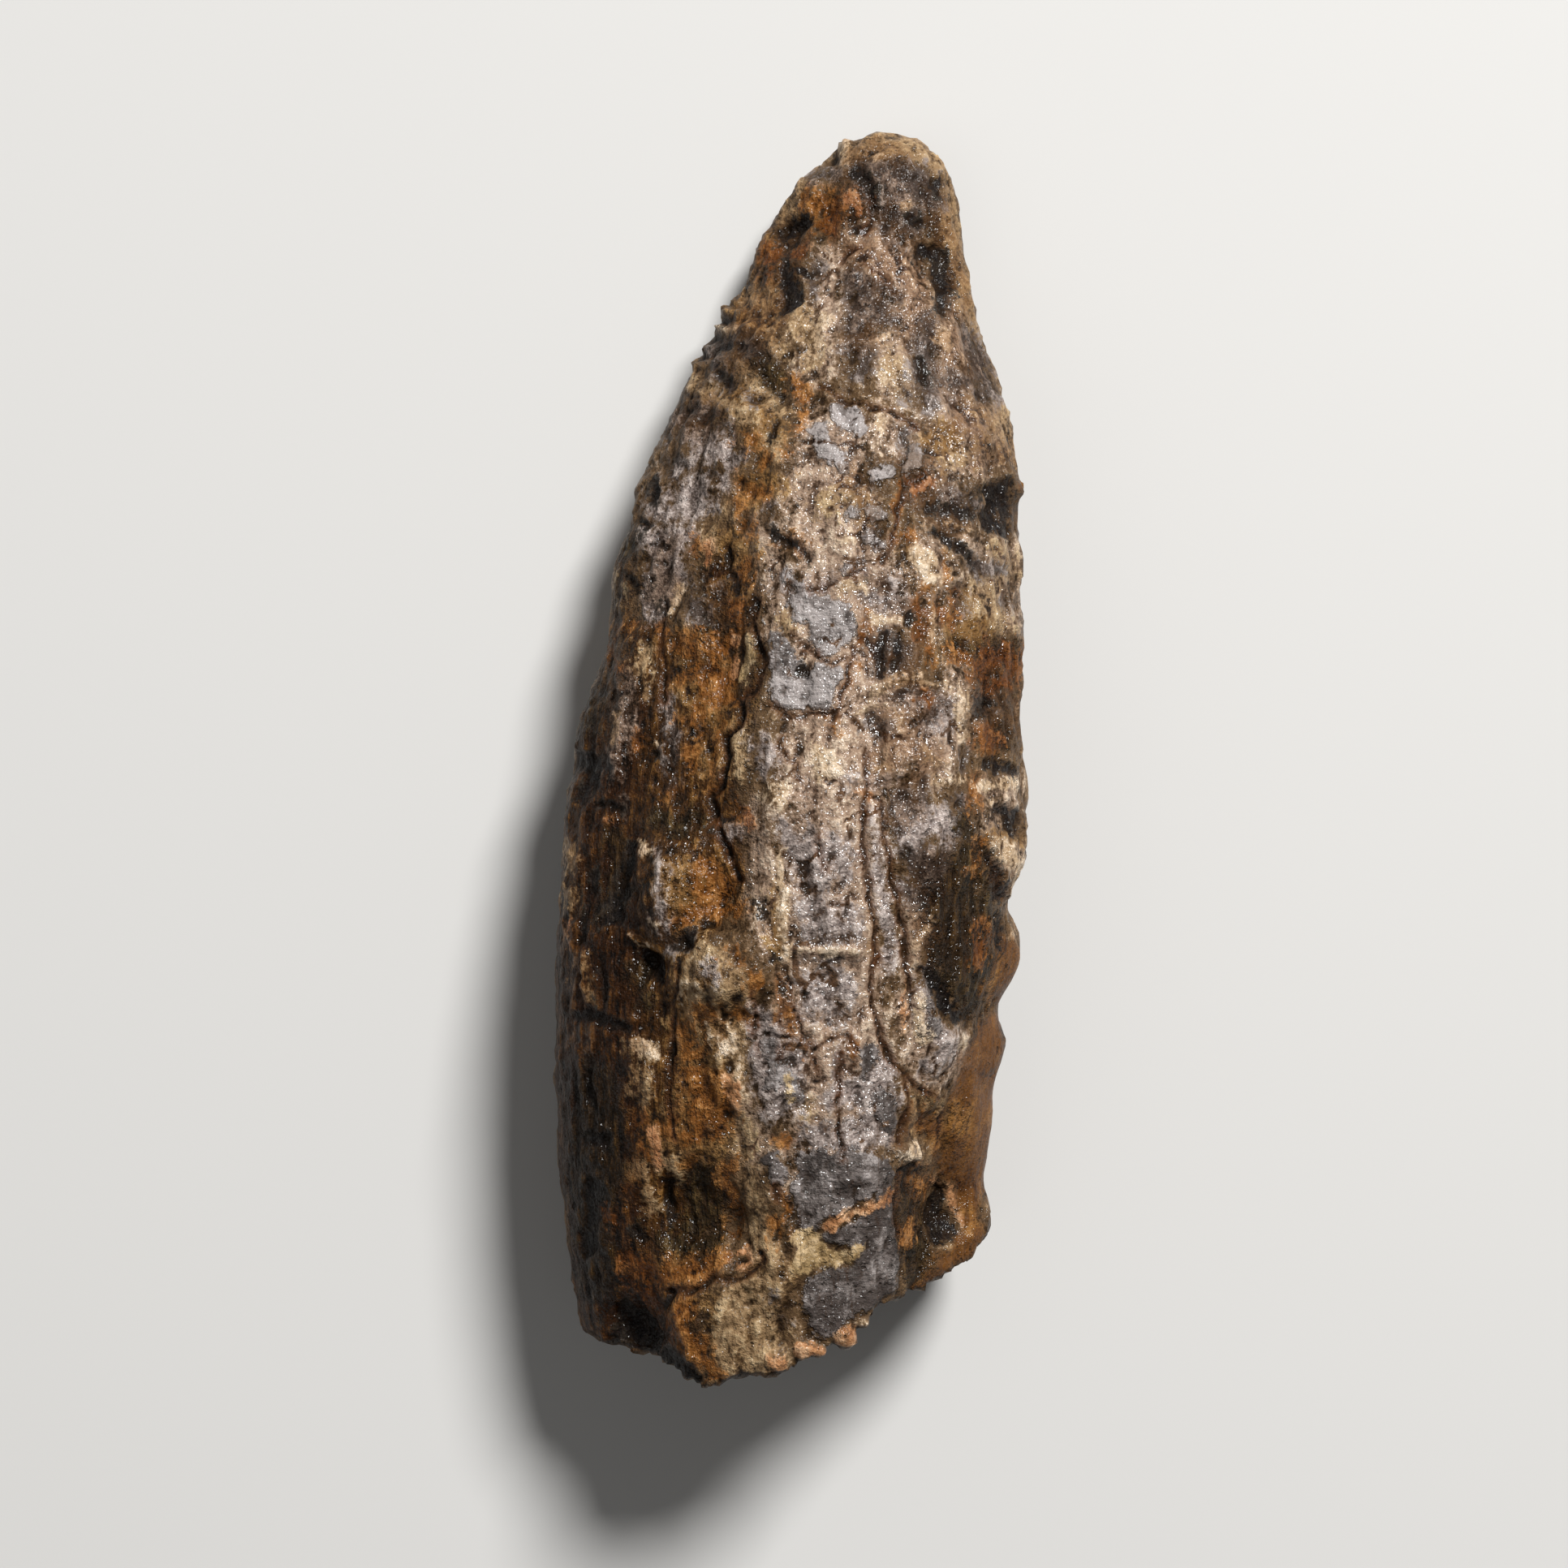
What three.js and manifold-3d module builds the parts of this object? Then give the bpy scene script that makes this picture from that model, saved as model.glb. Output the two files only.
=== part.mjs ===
// A fossil tooth crown of a large meat-eating dinosaur, broken off above the root and worn blunt at the tip.
// It lies on its flatter face, so that the rounder face looks up. Millimetres throughout:
// X runs across the blade, Y from the broken base to the tip, Z up from the surface that it lies on.
import * as THREE from "three";
import Module from "manifold-3d";

// Driving sizes
const bladeThickness = 17.2; // face to face, where the crown is widest
const widestChord = 28.6; // between the two cutting edges there
const upperShare = 0.56; // of the thickness, above the cutting edges
const baseSwell = 0.06; // how much thicker the crown is at the base than its width alone would make it
const crestShift = 0.14; // how far the crest of the upper face stands from the middle, towards the rear
const archRise = 1.3; // the crown curves towards its lower face, so its middle stands this far off the ground
const tipContact = 0.84; // where along the crown the tip end touches the ground, as a share of the edge
const tipLift = 2.3; // how far the very tip turns up again
const restDepth = 0.55; // worn off flat where the lower face touches the ground
const pulpDepth = 3.4; // depth of the hollow in the broken base
const baseRoughness = 0.5; // height of the lumps on the broken base

// Serrations of the two cutting edges: where they run, as shares of the edge, and how big each one is
const rearSerrations = { from: 0.37, to: 0.73, pitch: 0.55, out: 0.34, half: 0.24 };
const frontSerrations = { from: 0.76, to: 0.81, pitch: 1.05, out: 0.36, half: 0.42 };

// How finely the skin is divided
const upperPoints = 38; // steps over the upper face, from edge to edge
const lowerPoints = 20; // steps back under the lower face
const ringCount = 64; // from the broken edge to the tip
const capRings = 5; // from the broken edge to the middle of the base

// The front cutting edge, from the broken corner at the base up to the tip
const frontEdge = [
  [-12.9, -36.4], [-13.7, -31.6], [-14.2, -27.1], [-14.5, -20.6], [-14.5, -14.1], [-14.1, -7.1],
  [-13.6, -2.1], [-13.0, 1.9], [-12.0, 5.4], [-11.2, 8.9], [-10.7, 11.4], [-9.9, 14.4], [-8.8, 17.4],
  [-7.1, 21.9], [-5.3, 25.9], [-3.7, 28.9], [-2.0, 31.9], [-0.5, 34.4], [1.3, 36.5], [3.6, 38.2],
  [6.2, 38.75],
];

// The rear cutting edge, from the base up
const rearEdge = [
  [11.75, -29.1], [12.1, -25.0], [12.85, -20.0], [13.4, -15.0], [13.95, -10.0], [14.25, -5.0], [14.15, 0.9],
  [13.9, 7.9], [14.0, 14.4], [13.9, 17.4], [13.3, 20.4], [12.35, 23.9], [11.25, 28.9], [10.65, 32.4],
  [9.85, 35.9], [8.3, 38.1], [6.2, 38.75],
];

// Chips out of the edges and knobs left between them: where, how far each way along the edge, and how far out
const rearChips = [
  { y: -5.6, reach: 1.8, out: 0.35 },
  { y: -9.7, reach: 1.3, out: -0.8 },
  { y: -13.0, reach: 1.3, out: 0.55 },
  { y: -16.2, reach: 1.1, out: -0.95 },
  { y: -18.3, reach: 1.0, out: 0.2 },
  { y: -21.0, reach: 0.8, out: -0.5 },
  { y: -27.0, reach: 1.3, out: -0.45 },
  { y: 16.4, reach: 0.6, out: 0.4 },
];
const frontChips = [
  { y: 15.8, reach: 0.9, out: 0.35 },
  { y: 10.9, reach: 1.0, out: 0.25 },
  { y: 7.9, reach: 1.1, out: -0.4 },
  { y: 1.2, reach: 1.0, out: 0.3 },
  { y: 36.1, reach: 0.9, out: -0.6 },
];

// The broken edge of the upper face, from the front corner to the rear corner
const brokenEdge = [
  [-12.9, -36.4], [-10.3, -37.1], [-8.0, -37.5], [-6.0, -38.9], [-3.4, -38.2], [-1.15, -37.6],
  [1.1, -36.7], [3.6, -35.1], [5.95, -33.6], [7.2, -33.5], [8.7, -32.2], [10.1, -30.8], [11.75, -29.1],
];

// The broken edge of the lower face stays short of the upper one
const brokenEdgeBelow = [
  [-12.9, -36.4], [-9.4, -35.4], [-5.2, -36.3], [-1.4, -34.9], [2.8, -34.2], [6.4, -31.6], [9.2, -31.2],
  [11.75, -29.1],
];

// Knobs of enamel that hang on at the broken edge
const beads = [
  { at: [-1.0, -37.0], radius: 0.8 },
  { at: [1.1, -36.2], radius: 0.85 },
  { at: [2.9, -35.4], radius: 0.75 },
  { at: [4.1, -34.5], radius: 0.5 },
];

// Ledges where a skin of enamel has flaked off: the face is lower to the right of each path as it is walked
const ledges = [
  {
    // the long strip lost from the front half, down to the dentine
    path: [
      [-2.2, 14.9], [-2.7, 11.9], [-3.7, 8.4], [-2.4, 4.9], [-3.9, 1.9], [-4.7, -1.1], [-4.4, -3.6],
      [-2.7, -6.9], [-3.2, -9.6],
    ],
    depth: 0.95, reach: 8.0, softness: 0.8,
  },
  {
    // the corner broken away at the foot of the rear edge
    path: [
      [6.3, -35.0], [6.5, -29.0], [6.8, -24.6], [7.9, -21.4], [10.3, -17.6], [11.6, -13.6], [13.4, -9.2],
    ],
    depth: 2.1, reach: 10.0, softness: 1.0,
  },
  {
    // the thin strip worn away along the rear edge
    path: [[12.6, -9.0], [11.8, -6.6], [11.2, -1.0], [11.3, 6.0]],
    depth: 0.5, reach: 4.0, softness: 0.7,
  },
  {
    // the cap of thicker enamel that ends below the tip
    path: [[0.6, 23.4], [3.2, 22.4], [5.4, 21.4], [7.2, 21.0], [9.2, 18.9]],
    depth: 0.5, reach: 5.0, softness: 0.7,
  },
  {
    // the flake lost above the broken edge
    path: [[-1.6, -30.4], [-2.6, -31.6], [-5.0, -31.9], [-7.6, -32.8], [-9.4, -32.4]],
    depth: 0.6, reach: 5.0, softness: 0.7,
  },
];

// Furrows worn along the lines of the tooth
const furrows = [
  { path: [[-10.3, -4.6], [-10.8, -9.1], [-9.0, -13.1], [-7.6, -17.6]], width: 1.2, depth: 0.85 },
  { path: [[-7.4, -11.0], [-5.4, -10.4], [-3.4, -9.2]], width: 1.0, depth: 0.8 },
  { path: [[-4.6, -3.4], [-4.6, 0.2], [-3.2, 4.4], [-4.2, 8.4], [-3.0, 13.4]], width: 1.0, depth: 0.55 },
  { path: [[-11.9, 3.4], [-11.3, -2.6], [-12.1, -9.6]], width: 1.0, depth: 0.5 },
  { path: [[4.4, 2.4], [4.5, -5.0], [5.3, -12.0], [5.6, -17.0], [7.0, -20.4]], width: 0.9, depth: 0.45 },
];

// Lumps stand out of the upper face and hollows sink into it: middle, radius each way, and height
const lumps = [
  { at: [-7.9, -8.3], size: [2.3, 3.3], height: 1.25 },
  { at: [-4.0, -13.0], size: [2.7, 2.6], height: 0.95 },
  { at: [-10.6, 2.5], size: [1.0, 4.0], height: 0.5 },
  { at: [-5.9, -27.8], size: [3.6, 3.4], height: -1.25 },
  { at: [-5.0, -31.1], size: [4.2, 1.2], height: 0.55 },
  { at: [-9.4, -35.0], size: [1.9, 2.3], height: -1.9 },
  { at: [-6.2, -35.4], size: [1.3, 2.2], height: 0.6 },
  { at: [9.2, -28.0], size: [1.7, 2.8], height: -2.2 },
  { at: [10.9, -28.4], size: [1.0, 1.6], height: 0.6 },
  { at: [9.9, -20.4], size: [1.4, 3.8], height: 0.85 },
  { at: [1.6, 7.4], size: [2.2, 4.6], height: 0.4 },
  { at: [2.0, -8.6], size: [2.3, 5.0], height: 0.45 },
  { at: [3.2, -25.4], size: [3.0, 6.0], height: 0.3 },
  { at: [0.4, 32.2], size: [1.3, 1.5], height: -0.6 },
  { at: [8.6, 30.2], size: [1.1, 2.4], height: -0.7 },
  { at: [12.2, 15.4], size: [1.3, 1.6], height: -0.55 },
];

// The same for the lower face, which has lost less of its enamel
const lumpsBelow = [
  { at: [-3.6, 6.5], size: [3.4, 9.0], height: -0.7 },
  { at: [6.5, -13.0], size: [3.0, 7.5], height: -0.7 },
  { at: [-7.5, -17.0], size: [2.4, 4.5], height: 0.6 },
  { at: [4.5, 16.5], size: [2.4, 4.0], height: 0.4 },
  { at: [0.5, -4.5], size: [2.0, 5.0], height: 0.35 },
];

const { clamp, lerp, smoothstep } = THREE.MathUtils;

// A smooth line through the points, walked by its length
function lineThrough(points) {
  const line = new THREE.SplineCurve(points.map(([x, y]) => new THREE.Vector2(x, y)));
  line.arcLengthDivisions = 800;
  return line;
}

// How far a spot lies to the right of a path, and how far it lies beyond the path's ends
function placeBy(x, y, path) {
  const spot = new THREE.Vector3(x, y, 0);
  const best = { gap: Infinity, right: 0, beyond: 0 };
  for (let i = 1; i < path.length; i++) {
    const line = new THREE.Line3(new THREE.Vector3(...path[i - 1], 0), new THREE.Vector3(...path[i], 0));
    const share = line.closestPointToPointParameter(spot, false);
    const gap = spot.distanceTo(line.at(clamp(share, 0, 1), new THREE.Vector3()));
    if (gap < best.gap) {
      const step = line.delta(new THREE.Vector3());
      const offset = spot.clone().sub(line.start);
      const before = i === 1 ? -share : 0;
      const after = i === path.length - 1 ? share - 1 : 0;
      best.gap = gap;
      best.right = gap * Math.sign(step.y * offset.x - step.x * offset.y);
      best.beyond = Math.max(before, after, 0) * step.length();
    }
  }
  return best;
}

// Full depth just to the right of the path, dying away over its reach
function ledgeHeight(x, y, { path, depth, reach, softness }) {
  const { right, beyond } = placeBy(x, y, path);
  const step = smoothstep(right, -softness, softness) * (1 - smoothstep(right, 0.4 * reach, reach));
  return -depth * step * (1 - smoothstep(beyond, 0, 2.5));
}

const furrowHeight = (x, y, { path, width, depth }) =>
  -depth * Math.exp(-((placeBy(x, y, path).gap / width) ** 2));

const lumpHeight = (x, y, { at, size, height }) =>
  height * Math.exp(-(((x - at[0]) / size[0]) ** 2) - ((y - at[1]) / size[1]) ** 2);

const chipWidth = (y, chips) =>
  chips.reduce((sum, chip) => sum + chip.out * Math.exp(-(((y - chip.y) / chip.reach) ** 2)), 0);

const total = (list, height, x, y) => list.reduce((sum, feature) => sum + height(x, y, feature), 0);

const upperRelief = (x, y) =>
  total(ledges, ledgeHeight, x, y) + total(furrows, furrowHeight, x, y) + total(lumps, lumpHeight, x, y);

// Gentle unevenness that any old tooth has, the same each time
const unevenness = (x, y, z) =>
  0.6 * Math.sin(0.9 * x + 0.5 * y + 0.4) * Math.sin(0.7 * z - 0.6 * y + 1.1) +
  0.4 * Math.sin(1.1 * x - 0.8 * z + 2.3) * Math.sin(1.2 * y + 0.4 * x);

// How far the broken edge stands below the straight chord between its corners, at a share of the way across
function fractureOffset(points, across) {
  const [cornerX, cornerY] = points[0];
  const [endX, endY] = points[points.length - 1];
  const x = lerp(cornerX, endX, across);
  const i = clamp(points.findIndex(([px]) => px >= x), 1, points.length - 1);
  const [[x0, y0], [x1, y1]] = [points[i - 1], points[i]];
  return lerp(y0, y1, (x - x0) / (x1 - x0)) - lerp(cornerY, endY, across);
}

const frontLine = lineThrough(frontEdge);
const rearLine = lineThrough(rearEdge);

// The height of the cutting edges, and of the two faces above and below them
function levelsAt(along, chord) {
  const thickness = (bladeThickness / widestChord) * chord * (1 + baseSwell * (1 - along) ** 2);
  const below = thickness * (1 - upperShare);
  const arch = archRise * Math.sin(Math.PI * Math.min(along / tipContact, 1));
  const lift = tipLift * smoothstep(along, tipContact, 1);
  return { edge: below - restDepth + arch + lift, above: thickness - below, below };
}

// One point of the skin. along is 0 at the broken base and 1 at the tip; side is -1 at the front cutting edge
// and 1 at the rear one.
function skinPoint(along, side, upper) {
  const front = frontLine.getPointAt(along);
  const rear = rearLine.getPointAt(along);
  const across = (side + 1) / 2;
  const fracture = fractureOffset(upper ? brokenEdge : brokenEdgeBelow, across) * (1 - smoothstep(along, 0, 0.2));
  const y = lerp(front.y, rear.y, across) + fracture;
  const chips = side > 0 ? chipWidth(y, rearChips) : -chipWidth(y, frontChips);
  const x = lerp(front.x, rear.x, across) + chips * Math.abs(side) ** 5;

  const { edge, above, below } = levelsAt(along, front.distanceTo(rear));
  const awayFromEdges = 1 - Math.abs(side) ** 8;
  const wavy = 0.18 * unevenness(x, y, upper ? 9 : -9) * smoothstep(along, 0, 0.05);
  const fromCrest = upper ? (side - crestShift) / (1 - crestShift * side) : side;
  // the front of the crown is rounder at the base than it is higher up, where it is drawn out to an edge
  const pinch = fromCrest < 0 ? lerp(0.5, 0.66, smoothstep(along, 0.15, 0.7)) : 0.66;
  const bulge = (1 - Math.abs(fromCrest) ** (upper ? 2.2 : 2.7)) ** pinch;
  const relief = upper ? upperRelief(x, y) : total(lumpsBelow, lumpHeight, x, y);
  const height = (upper ? above : below) * bulge + (relief + wavy) * awayFromEdges;
  return new THREE.Vector3(x, y, Math.max(upper ? edge + height : edge - height, 0));
}

// A ring of the skin, from the front edge over the upper face to the rear edge and back underneath
function skinRing(along) {
  const over = Array.from({ length: upperPoints }, (_, i) =>
    skinPoint(along, -Math.cos((Math.PI * i) / upperPoints), true));
  const under = Array.from({ length: lowerPoints }, (_, i) =>
    skinPoint(along, Math.cos((Math.PI * i) / lowerPoints), false));
  return [...over, ...under];
}

// The broken base sinks from its rim to the pulp hollow in the middle
function basePoint(rimPoint, middle, share) {
  const point = rimPoint.clone().lerp(middle, share);
  const rough = Math.sin(1.3 * point.x + 1.0) * Math.sin(1.1 * point.z) + 0.6 * Math.sin(2.1 * point.z - point.x);
  point.y += pulpDepth * smoothstep(share, 0.3, 0.75) + baseRoughness * rough * Math.min(3 * share, 1);
  return point;
}

function crownGeometry() {
  // rings crowd together towards the tip, where the skin curves most
  const shares = Array.from({ length: ringCount }, (_, r) => r / ringCount);
  const rings = shares.map((share) => skinRing(share + 0.12 * share * share * (1 - share)));
  const rim = rings[0];
  const middle = rim.reduce((sum, p) => sum.add(p), new THREE.Vector3()).divideScalar(rim.length);
  const cap = Array.from({ length: capRings - 1 }, (_, r) =>
    rim.map((p) => basePoint(p, middle, 1 - (r + 1) / capRings)));

  const points = [basePoint(middle, middle, 1), ...cap.flat(), ...rings.flat(), skinPoint(1, 0, true)];
  const ringPoints = upperPoints + lowerPoints;
  const lastRing = cap.length + rings.length - 1;
  const corner = (ring, i) => 1 + ring * ringPoints + (i % ringPoints);
  const faces = [];
  for (let i = 0; i < ringPoints; i++) {
    faces.push(0, corner(0, i + 1), corner(0, i));
    for (let ring = 0; ring < lastRing; ring++) {
      const [a, b] = [corner(ring, i), corner(ring, i + 1)];
      const [c, d] = [corner(ring + 1, i + 1), corner(ring + 1, i)];
      faces.push(a, b, c, a, c, d);
    }
    faces.push(corner(lastRing, i), corner(lastRing, i + 1), points.length - 1);
  }
  const geometry = new THREE.BufferGeometry().setFromPoints(points);
  geometry.setIndex(faces);
  return geometry;
}

// Small pointed grains set along a cutting edge, half sunk into it
function serrationGeometries(line, chips, outward, { from, to, pitch, out, half }) {
  const count = Math.round(((to - from) * line.getLength()) / pitch);
  return Array.from({ length: count }, (_, i) => {
    const along = lerp(from, to, (i + 0.5) / count);
    const { x, y } = line.getPointAt(along);
    const { edge } = levelsAt(along, frontLine.getPointAt(along).distanceTo(rearLine.getPointAt(along)));
    const grain = new THREE.OctahedronGeometry(1, 0);
    grain.scale(out * 1.6, half, 0.5);
    grain.translate(x + outward * (chipWidth(y, chips) - 0.6 * out), y, edge);
    return grain;
  });
}

function beadGeometry({ at, radius }) {
  const [x, y] = at;
  const across = (x - brokenEdge[0][0]) / (rearEdge[0][0] - brokenEdge[0][0]);
  const bead = new THREE.OctahedronGeometry(radius, 1);
  bead.translate(x, y, skinPoint(0.01, 2 * across - 1, true).z - 0.5 * radius);
  return bead;
}

const wasm = await Module();
wasm.setup();

// Loose triangles share their corners again before they can be joined
function solidOf(geometry) {
  const corners = new Map();
  const vertices = [];
  const position = geometry.getAttribute("position");
  const order = geometry.index ? Array.from(geometry.index.array) : [...Array(position.count).keys()];
  const triangles = order.map((i) => {
    const point = [position.getX(i), position.getY(i), position.getZ(i)];
    const key = point.map((value) => value.toFixed(5)).join();
    if (!corners.has(key)) {
      corners.set(key, vertices.length / 3);
      vertices.push(...point);
    }
    return corners.get(key);
  });
  const vertProperties = new Float32Array(vertices);
  return new wasm.Manifold(new wasm.Mesh({ numProp: 3, vertProperties, triVerts: new Uint32Array(triangles) }));
}

function toothGeometry() {
  const extras = [
    ...serrationGeometries(rearLine, rearChips, 1, rearSerrations),
    ...serrationGeometries(frontLine, frontChips, -1, frontSerrations),
    ...beads.map(beadGeometry),
  ];
  const joined = extras.reduce((solid, extra) => solid.add(solidOf(extra)), solidOf(crownGeometry()));
  const { vertProperties, triVerts } = joined.getMesh();
  const geometry = new THREE.BufferGeometry();
  geometry.setAttribute("position", new THREE.BufferAttribute(vertProperties, 3));
  geometry.setIndex(new THREE.BufferAttribute(triVerts, 1));
  geometry.computeBoundingBox();
  const { min, max } = geometry.boundingBox;
  geometry.translate(-(min.x + max.x) / 2, -(min.y + max.y) / 2, -min.z);
  geometry.computeVertexNormals();
  return geometry;
}

const fossilEnamel = new THREE.MeshStandardMaterial({ color: 0x6e5138, roughness: 0.42, metalness: 0 });

const tooth = new THREE.Mesh(toothGeometry(), fossilEnamel);
tooth.name = "tooth";

const part = new THREE.Group();
part.add(tooth);
export default part;
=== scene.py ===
import math
import bmesh
import bpy
import numpy as np
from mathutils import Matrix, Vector, noise


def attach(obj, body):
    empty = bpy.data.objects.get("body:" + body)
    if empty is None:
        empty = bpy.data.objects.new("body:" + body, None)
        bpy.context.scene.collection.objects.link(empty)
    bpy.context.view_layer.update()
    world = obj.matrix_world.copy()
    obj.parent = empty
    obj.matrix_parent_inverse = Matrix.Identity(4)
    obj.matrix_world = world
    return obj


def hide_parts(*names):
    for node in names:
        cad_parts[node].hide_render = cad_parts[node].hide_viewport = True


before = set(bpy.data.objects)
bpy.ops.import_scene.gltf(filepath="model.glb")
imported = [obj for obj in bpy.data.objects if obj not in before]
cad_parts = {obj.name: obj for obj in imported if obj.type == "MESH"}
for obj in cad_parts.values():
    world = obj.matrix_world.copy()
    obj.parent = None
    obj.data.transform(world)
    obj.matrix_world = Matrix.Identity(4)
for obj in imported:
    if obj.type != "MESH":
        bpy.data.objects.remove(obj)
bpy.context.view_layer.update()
mm = 0.001

# The skin of the crown: lengths in millimetres
crown = {
    "voxel": 0.42,  # the even first skin
    "smoothPasses": 6,
    "upperSlope": 0.3,  # faces that point up more than this are divided
    "upperPasses": 3,  # of smoothing, once they are divided
    "regrowth": 0.12,  # what the smoothing takes off
    "unevenness": 0.22,  # how far marks and cracks stray from their strokes
    "crispEdge": 0.12,
    "softEdge": 0.8,
    "rimGap": 0.8,  # marks draw back this far from the edge between the two faces
    "span": 3,  # mm that the attribute of a mark covers from 0 to 1
    "grainHeight": 0.09,
    "lumpHeight": 0.28,
    "fibreHeight": 0.055,
    "terraceHeight": 0.12,
    "terraceLevels": 3.6,
    "seamDepth": 0.1,
    "seamWidth": 0.07,
    "seamWarp": 0.5,
    "crumpleHeight": 0.2,
    "crumples": [((-0.4, -18.6), (2.6, 3.2), 1), ((2, -10), (2.6, 9), 0.6)],  # middle, reach and strength
    "brokenEnd": (-24, -29),  # the base is broken from the first y to the second
    "brokenHeight": 0.35,
    "serrations": (23.4, 28.4),  # coarse ones are left on the front edge between these two y
    "serrationHeight": 0.26,
    "serrationPitch": 1.05,
    "restHeight": 0.5,  # relief fades below this height, so the resting patches stay flat
    "reliefPasses": 14,  # how wide a neighbourhood hollows are judged in
}

# Noise over the skin: size of the features along each axis in mm, seed and octaves
skinNoise = {
    "warpX": ((1.2, 1.2, 1.2), 1, 4),
    "warpY": ((1.2, 1.2, 1.2), 2, 4),
    "wander": ((2.5, 2.5, 2.5), 3, 1),
    "grain": ((0.7, 1.5, 0.7), 4, 3),
    "fibre": ((0.5, 4.0, 0.5), 5, 2),
    "crumple": ((1.0, 0.6, 1.0), 6, 3),
    "plates": ((2.0, 4.4, 2.0), 7, 3),
}
# Cells over the skin: their size in mm and seed
skinCells = {"lumps": ((0.9, 1.0, 0.9), 1), "seams": ((2.0, 2.8, 2.0), 2)}

# The eye that marks are laid on from: where it is, where its axis meets the marks,
# and the level where they keep their size
eye = {"x": -0.6, "y": -2.3, "z": 277.0, "axis": (-0.6, -1.43), "level": 8.67}

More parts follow.
